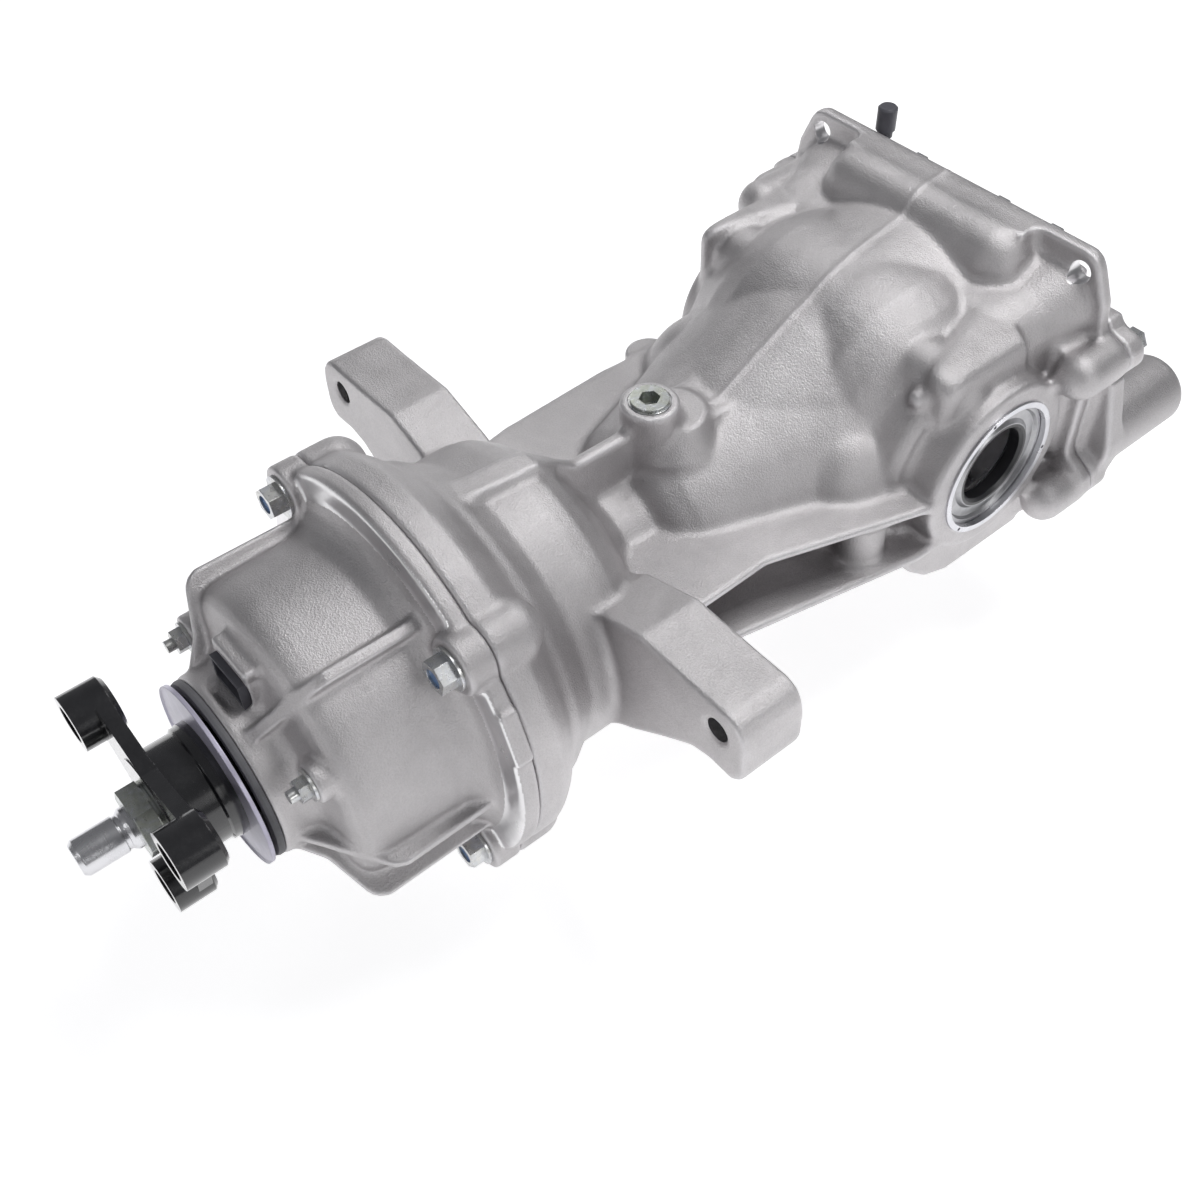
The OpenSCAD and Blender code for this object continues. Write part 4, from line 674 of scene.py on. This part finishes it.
def rear_hollow(x, y, z):
    """Where the rear cover's own dome is kept."""
    return (np.abs(x) < 68) & (np.abs(z - 14) < 58) & (y < REAR_JOINT_Y + 40)


def build_rear():
    mounts = both_sides(MOUNT[0], MOUNT_Y1, MOUNT[1])
    back = poured(NODES["rear_cover"], "rear_casting", 3.0, 0.6, 1.0, rear_hollow)
    wear(back, CAST)
    drilled(back, along_y(mounts, -45, 15, 8) + along_y(rear_bolt_holes(), -1, 29, 4.5), CUT)
    finish_casting(back, "rear_cover")


build_housing()
build_cover()
build_rear()


# Small pieces that only the looks need.
BOLT_HEAD_Y = 118.5
PAINT_R, PAINT_THICK = 4.5, 0.6


def disc(name, place, radius, thick, mat, body):
    """A thin round plate across the drive axis."""
    bm = bmesh.new()
    turn = Vector((0, 0, 1)).rotation_difference(Vector((0, 1, 0))).to_matrix().to_4x4()
    bmesh.ops.create_cone(bm, cap_ends=True, segments=48, radius1=radius * MM, radius2=radius * MM,
                          depth=thick * MM, matrix=Matrix.Translation(Vector(place) * MM) @ turn)
    me = bpy.data.meshes.new(name)
    bm.to_mesh(me)
    bm.free()
    obj = bpy.data.objects.new(name, me)
    SCENE.collection.objects.link(obj)
    wear(obj, mat)
    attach(obj, body)
    return obj


for number, (x, _, z) in enumerate(cover_bolt_holes()):
    disc("bolt_paint_%d" % number, (x, BOLT_HEAD_Y - 0.1, z), PAINT_R, PAINT_THICK, BLUE, "housing")


# Camera, light and floor.

# Fitted to the photograph: place, the picture's right, down and forward directions, and the lens.
CAM_PLACE = Vector((385.4, -46.6, 503.5)) * MM
CAM_RIGHT = Vector((0.6357, 0.7716, -0.0243))
CAM_DOWN = Vector((0.5651, -0.4865, -0.6664))
CAM_FORWARD = Vector((-0.5259, 0.4099, -0.7452))
CAM_LENS = 42.36
cam_data = bpy.data.cameras.new("camera")
cam = bpy.data.objects.new("camera", cam_data)
SCENE.collection.objects.link(cam)
cam.matrix_world = Matrix((
    (CAM_RIGHT.x, -CAM_DOWN.x, -CAM_FORWARD.x, CAM_PLACE.x),
    (CAM_RIGHT.y, -CAM_DOWN.y, -CAM_FORWARD.y, CAM_PLACE.y),
    (CAM_RIGHT.z, -CAM_DOWN.z, -CAM_FORWARD.z, CAM_PLACE.z),
    (0, 0, 0, 1)))
cam_data.lens = CAM_LENS
cam_data.sensor_width = 36
cam_data.clip_start = 0.01
cam_data.clip_end = 30
SCENE.camera = cam

FLOOR_Z, FLOOR_HALF = -0.135, 4.0
# What the floor adds to its own light where a camera, a reflection or a clear part shows it.
STAGE_GLOW = 0.70


def white_stage():
    """A pale floor that shows white, with the soft shadow of the object."""
    mat = bpy.data.materials.new("stage_white")
    mat.use_nodes = True
    t = mat.node_tree
    bsdf = t.nodes["Principled BSDF"]
    bsdf.inputs["Base Color"].default_value = (0.78, 0.78, 0.79, 1)
    bsdf.inputs["Roughness"].default_value = 0.9
    bsdf.inputs["Specular IOR Level"].default_value = 0.1
    glow = t.nodes.new("ShaderNodeEmission")
    glow.inputs["Color"].default_value = (1, 1, 1, 1)
    glow.inputs["Strength"].default_value = STAGE_GLOW
    path = t.nodes.new("ShaderNodeLightPath")
    seen = path.outputs["Is Camera Ray"]
    for ray in ("Is Glossy Ray", "Is Transmission Ray"):
        both = t.nodes.new("ShaderNodeMath")
        both.operation = "MAXIMUM"
        t.links.new(seen, both.inputs[0])
        t.links.new(path.outputs[ray], both.inputs[1])
        seen = both.outputs[0]
    lit = t.nodes.new("ShaderNodeAddShader")
    t.links.new(bsdf.outputs[0], lit.inputs[0])
    t.links.new(glow.outputs[0], lit.inputs[1])
    mix = t.nodes.new("ShaderNodeMixShader")
    t.links.new(seen, mix.inputs[0])
    t.links.new(bsdf.outputs[0], mix.inputs[1])
    t.links.new(lit.outputs[0], mix.inputs[2])
    t.links.new(mix.outputs[0], t.nodes["Material Output"].inputs["Surface"])
    me = bpy.data.meshes.new("floor")
    corners = [(x * FLOOR_HALF, y * FLOOR_HALF, FLOOR_Z) for x, y in ((-1, -1), (1, -1), (1, 1), (-1, 1))]
    me.from_pydata(corners, [], [(0, 1, 2, 3)])
    me.materials.append(mat)
    floor = bpy.data.objects.new("floor", me)
    SCENE.collection.objects.link(floor)


MIDDLE = (0, 0.27, 0.02)
# Each lamp's name, place in metres, width and height, and power in watts.
LAMPS = (
    ("key", (0.15, 0.75, 1.25), (0.7, 0.4), 8.5),
    ("side", (1.3, 0.5, 0.55), (0.5, 0.5), 3.0),
    ("front", (0.2, -1.2, 0.7), (0.6, 0.3), 2.8),
    ("back", (-1.1, 0.9, 0.8), (0.5, 0.5), 2.6),
)


def lamp(name, place, size, power):
    """A soft rectangular lamp that points at the object's middle."""
    data = bpy.data.lights.new(name, "AREA")
    data.shape = "RECTANGLE"
    data.size, data.size_y = size
    data.energy = power
    obj = bpy.data.objects.new(name, data)
    SCENE.collection.objects.link(obj)
    obj.location = place
    obj.rotation_euler = (Vector(MIDDLE) - Vector(place)).to_track_quat("-Z", "Y").to_euler()


white_stage()
for lamp_name, place, size, power in LAMPS:
    lamp(lamp_name, place, size, power)

world = bpy.data.worlds.new("world")
SCENE.world = world
world.use_nodes = True
sky = world.node_tree.nodes["Background"]
sky.inputs["Color"].default_value = (0.95, 0.96, 1.0, 1)
sky.inputs["Strength"].default_value = 0.19

SCENE.view_settings.view_transform = "Standard"
bpy.context.view_layer.update()
